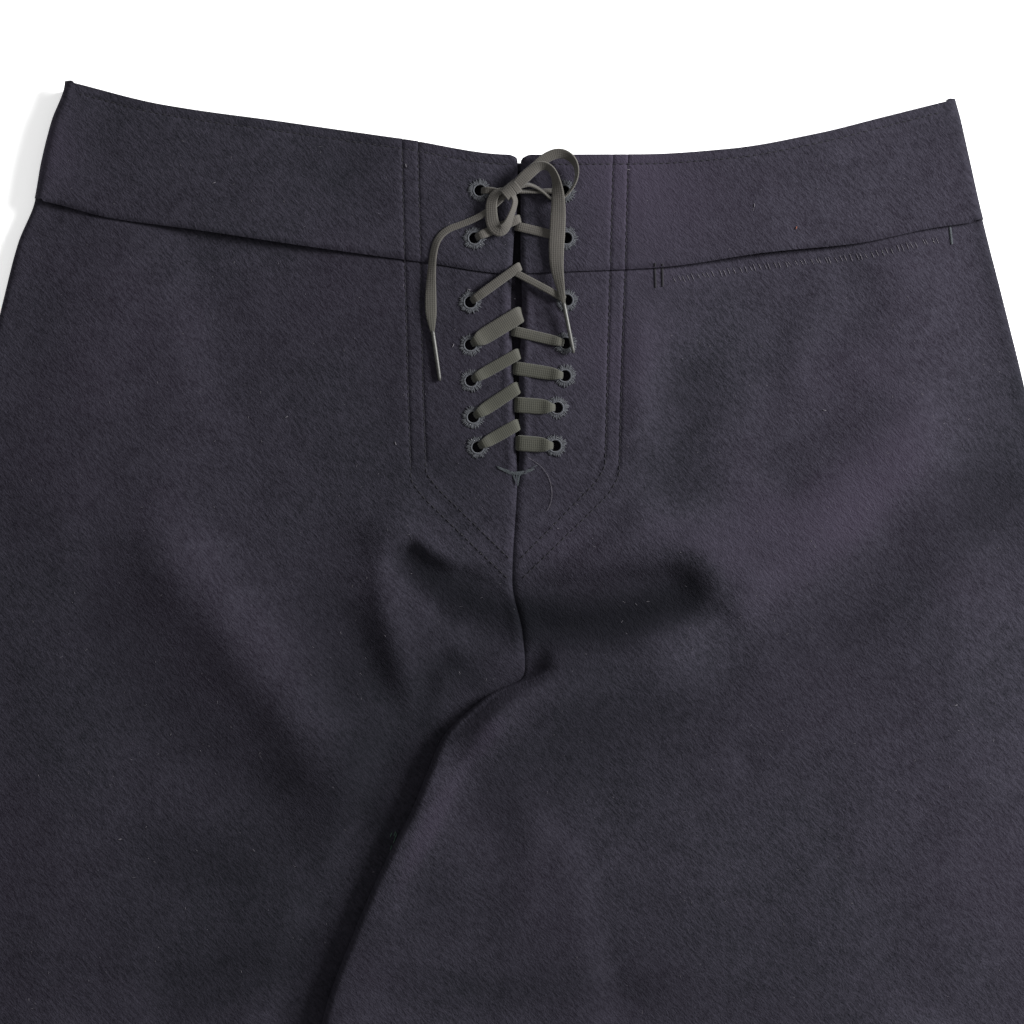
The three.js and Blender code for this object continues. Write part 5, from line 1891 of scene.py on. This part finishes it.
    def build_bow(self) -> None:
        tips = {side: self.build_tip(side) for side in Side}
        for key, lace in self.bow().items():
            made = lace.build(self.finishes.lace, f"lace_{key}")
            path = lace.path()
            free = key.startswith("end")
            round(lace.length(), 4)
            [tips[Side(key.split("_")[1])]] if free else []

    def build_tip(self, side: Side) -> Thing:
        """Makes a stiff tip: a rolled sleeve with a rounded end, pinched where it grips the lace."""
        top = self.band_face + 0.8
        ends = {
            Side.LEFT: ((-35.7, 421.6, top - 1.1), (-32.4, 399.0, top - 1.1)),
            Side.RIGHT: ((23.1, 434.2, top + 1.3), (27.7, 411.4, top - 0.1)),
        }
        start, end = (Vector(p) * MM for p in ends[side])
        way = end - start
        form = bmesh.new()
        ring = bmesh.ops.create_circle(form, cap_ends=True, segments=12, radius=0.6 * MM)["verts"]
        cap = list({face for vert in ring for face in vert.link_faces})
        for share, radius in self.tip_profile:
            grown = bmesh.ops.extrude_face_region(form, geom=cap)
            verts = [g for g in grown["geom"] if isinstance(g, bmesh.types.BMVert)]
            bmesh.ops.delete(form, geom=cap, context="FACES_ONLY")
            cap = [g for g in grown["geom"] if isinstance(g, bmesh.types.BMFace)]
            for vert in verts:
                flat = vert.co.xy.normalized() * radius * MM
                vert.co = (flat.x, flat.y, way.length * share)
        bmesh.ops.recalc_face_normals(form, faces=form.faces)
        turn = way.to_track_quat("Z", "Y").to_matrix().to_4x4()
        bmesh.ops.transform(form, matrix=Matrix.Translation(start) @ turn, verts=form.verts)
        made = Piece.from_form(f"stiff_tip_{side.value}", form)
        return Piece.finish(made, Slot.TIP, self.finishes.tip, f"lace_tip_{side.value}")

    def build_knot(self) -> None:
        """Makes the knot: three turns of lace round three tighter ones."""
        middle = Vector((-1.0, 484.0, self.band_face + 3.1))
        way = Vector((math.cos(math.radians(38)), math.sin(math.radians(38)), 0.0))
        side = Vector((-way.y, way.x, 0.0))
        for k, (offset, lean, size) in enumerate(self.turns):
            line = []
            for j in range(17):
                angle = 2 * math.pi * j / 14 - 0.6
                centre = middle + way * (offset + lean * j / 8)
                reach = side * (2.9 * math.cos(angle)) + Vector((0, 0, 2.6 * math.sin(angle)))
                line.append(centre + reach * size)
            self.wrap(f"knot_wrap_{k + 1}", np.array(line), way, *(("lace_knot",) if k == 0 else ()))

    def wrap(self, name: str, line: Array, way: Vector, *nodes: str) -> None:
        """One turn of lace round the knot, its width along the knot's own way."""
        across = (np.linspace(-1, 1, 5) * self.wrap_width / 2)[:, None]
        points = line[None] + across[..., None] * np.array(way)
        uv = np.stack(np.broadcast_arrays(run_along(line)[None], across), axis=-1) * MM
        made = Piece.grid(name, points[::-1], uv[::-1])
        Piece.soft_wall(made, 0.8, 2)
        Piece.finish(made, Slot.LACE, self.finishes.lace, *nodes)

    def build(self) -> None:
        """Makes the whole lace."""
        self.build_runs()
        self.build_knot()


@dataclass
class Stitching:
    """Rows of stitches that lie in their grooves."""

    finishes: Finishes
    pitch: float = 3.0
    share: float = 0.74
    radius: float = 0.3
    overcast_pitch: float = 2.3
    overcast_radius: float = 0.12

    def sew(self, form: Form, line: Array) -> None:
        """Adds stitches along a line from above.

        Args:
            form: The bmesh that takes them.
            line: Its corners as rows of x and y.
        """
        flat = resampled(np.concatenate([line, np.zeros((len(line), 1))], axis=1), self.pitch)
        starts = LIE.on_top(mix(flat[:-1], flat[1:], (1 - self.share) / 2), 0.06)
        ends = LIE.on_top(mix(flat[:-1], flat[1:], (1 + self.share) / 2), 0.06)
        strands(form, starts, ends, self.radius)

    def rows(self) -> dict[str, list[Array]]:
        """Every row of stitching, by the piece that it is sewn as."""
        facing = {
            f"facing_stitches_{side.value}": [np.array(FACING[(side, k)], float) - (0.0, 5.0) for k in (0, 1)]
            for side in Side
        }
        left = np.linspace(-196, -1.5, 40)
        right = np.linspace(8.5, 193, 40)
        waist = [np.stack([x, LIE.waist_edge(x) - WAIST_ROW], axis=1) for x in (left, right)]
        return {**facing, "waist_stitches": waist}

    def overcast(self) -> Form:
        """Slanting stitches below the pocket mouth."""
        x = np.arange(POCKET[0] + 7.0, POCKET[1] - 3.0, self.overcast_pitch)
        chance = np.random.default_rng(5)
        x = x + chance.uniform(-0.7, 0.7, len(x))
        seam = LIE.waist_seam(x)
        starts = LIE.on_top(np.stack([x, seam - 4.2 - chance.uniform(0, 1.0, len(x))], axis=1), 0.1)
        ends = LIE.on_top(np.stack([x + 1.5, seam - 7.2 - chance.uniform(0, 1.2, len(x))], axis=1), 0.1)
        form = bmesh.new()
        strands(form, starts, ends, self.overcast_radius)
        return form

    def build(self) -> None:
        """Sews them all."""
        for name, lines in self.rows().items():
            form = bmesh.new()
            for line in lines:
                self.sew(form, line)
            Piece.sewn(name, form, self.finishes.seam_thread)
        Piece.sewn("pocket_stitches", self.overcast(), self.finishes.lint)


@dataclass
class Tacks:
    """Bar tacks at the pocket and the tack below the opening."""

    finishes: Finishes
    middle: Point = (2.2, 357.6)
    bar_half: float = 0.6
    bar_stitches: int = 22
    bar_radius: float = 0.34
    crow_stitches: int = 56
    foot_stitches: int = 15
    # Top and foot of each bar at the pocket's ends
    inner_bars: Sequence[Rows] = (((64.2, 451.8), (64.6, 441.2)), ((67.6, 451.4), (67.8, 441.8)))
    outer_bars: Sequence[Rows] = (((198.0, 468.8), (198.8, 461.4)),)

    def bar(self, form: Form, top: Sequence[float], foot: Sequence[float]) -> None:
        """A narrow bar of close stitches from top to foot."""
        share = np.linspace(0, 1, self.bar_stitches)[:, None]
        middle = mix(np.array(top), np.array(foot), share)
        half = (self.bar_half, 0.25)
        strands(form, LIE.on_top(middle - half, 0.12), LIE.on_top(middle + half, 0.12), self.bar_radius)

    def crow(self) -> Form:
        """The tack below the opening: a bent bar of loose stitches with a foot that runs down from it."""
        form = bmesh.new()
        chance = np.random.default_rng(7)
        share = chance.uniform(-1, 1, self.crow_stitches)
        x = self.middle[0] + share * 7.6
        y = self.middle[1] + 2.4 * share**2 + chance.uniform(-0.7, 0.7, self.crow_stitches)
        starts = LIE.on_top(np.stack([x - 1.9, y - share * 0.8], axis=1), 0.3)
        ends = LIE.on_top(np.stack([x + 1.9, y + share * 0.8], axis=1), 0.3)
        strands(form, starts, ends, 0.19)
        x = self.middle[0] + chance.uniform(-2.6, 2.6, self.foot_stitches)
        foot = self.middle[1] - chance.uniform(2.5, 6.5, self.foot_stitches)
        starts = LIE.on_top(np.stack([x, np.full_like(x, self.middle[1] + 0.8)], axis=1), 0.34)
        ends = LIE.on_top(np.stack([mix(x, self.middle[0], 0.8), foot], axis=1), 0.34)
        strands(form, starts, ends, 0.16)
        return form

    def bars(self, name: str, ends: Sequence[Rows], thread: Material) -> None:
        """Makes one piece of the bars whose tops and feet are given."""
        form = bmesh.new()
        for top, foot in ends:
            self.bar(form, top, foot)
        Piece.sewn(name, form, thread)

    def build(self) -> None:
        """Makes them all."""
        self.bars("pocket_tack_inner", self.inner_bars, self.finishes.seam_thread)
        self.bars("pocket_tack_outer", self.outer_bars, self.finishes.tack_thread)
        Piece.sewn("opening_tack", self.crow(), self.finishes.tack_thread)


@dataclass
class Lint:
    """Short stray fibres on the cloth, and a loose thread below the opening."""

    finishes: Finishes
    count: int = 520
    # The larger fibres
    known: Sequence[Point] = (
        (-134, 488.2), (108.9, 477.9), (-47.7, 495.8), (52.2, 494.0), (-101.7, 383.0), (140.9, 386.0),
        (-176.9, 192.5), (200.2, 252.9), (-19.4, 440.2), (-52.4, 371.0), (-26.5, 415.0),
    )
    loose: Sequence[Point] = (
        (6.4, 365.0), (9.6, 363.4), (13.6, 360.4), (17.0, 355.2), (18.2, 349.0), (17.4, 343.4),
        (15.6, 340.6),
    )

    def scatter(self, name: str, material: Material, rows: Rows) -> None:
        """Lays short fibres on the cloth as one piece.

        Args:
            name: The piece's name.
            material: Its finish.
            rows: Each fibre's x, y, heading, length and radius.
        """
        form = bmesh.new()
        x, y, heading, length, radius = np.array(rows, float).T
        step = np.stack([np.cos(heading), np.sin(heading)], axis=1) * length[:, None] / 2
        middle = np.stack([x, y], axis=1)
        for start, end, thick in zip(LIE.on_top(middle - step, 0.0), LIE.on_top(middle + step, 0.0), radius):
            lift = (0.0, 0.0, thick)
            strand(form, start + lift, end + lift, thick, 4)
        Piece.sewn(name, form, material)

    def fallen(self, chance: np.random.Generator) -> list[list[float]]:
        """Fibres all over the back, each clear of its edges."""
        rows = []
        for _ in range(self.count):
            x, y = chance.uniform(-222, 222), chance.uniform(114, 520)
            low, high = float(LIE.side_left(y)) + 8, float(LIE.side_right(y)) - 8
            if low < x < high and y < float(LIE.waist_edge(x)) - 3:
                heading, length = chance.uniform(0, 3.1), chance.uniform(0.4, 1.6)
                rows.append([x, y, heading, length, chance.uniform(0.04, 0.09)])
        return rows

    def build(self) -> None:
        """Scatters them."""
        chance = np.random.default_rng(11)
        rows = [[x, y, chance.uniform(0, 3.1), 1.8, 0.2] for x, y in self.known]
        self.scatter("lint", self.finishes.lint, rows + self.fallen(chance))
        self.scatter("rust_fibre", self.finishes.rust, [(127.8, 467.9, 1.2, 1.6, 0.3)])
        bits = [
            (-53 + chance.uniform(-2.5, 2.5), 190 + chance.uniform(-5, 5), 1.2, 2.6, 0.2) for _ in range(9)
        ]
        self.scatter("green_thread", self.finishes.green, bits)
        line = LIE.on_top(resampled(rounded(np.array([(*p, 0.0) for p in self.loose]), 2), 0.7), 0.3)
        form = bmesh.new()
        strands(form, line[:-1], line[1:], 0.1, 5)
        Piece.sewn("loose_thread", form, self.finishes.lint)


@dataclass
class Buttons:
    """The plain buttons of the front flap, which keep their solids."""

    finishes: Finishes

    def build(self) -> None:
        """Gives each its finish."""
        for name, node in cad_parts.items():
            if name.startswith("button_"):
                node.data.materials.clear()
                node.data.materials.append(self.finishes.resin)


def main() -> None:
    """Builds the scene in order."""
    logging.basicConfig(level=logging.INFO, format="%(message)s")
    stage = Stage()
    stage.camera()
    finishes = Finishes()
    lacing = Lacing(finishes)
    lacing.build_bow()
    lacing.build()
    for side in Side:
        LegBack(side, finishes).build()
        Waistband(side, finishes).build()
        LegFront(side, finishes).build()
    Underlay(finishes).build()
    Eyelets(finishes).build()
    Stitching(finishes).build()
    Tacks(finishes).build()
    Lint(finishes).build()
    Buttons(finishes).build()
    stage.floor()
    stage.lights()


if __name__ == "__main__":
    main()
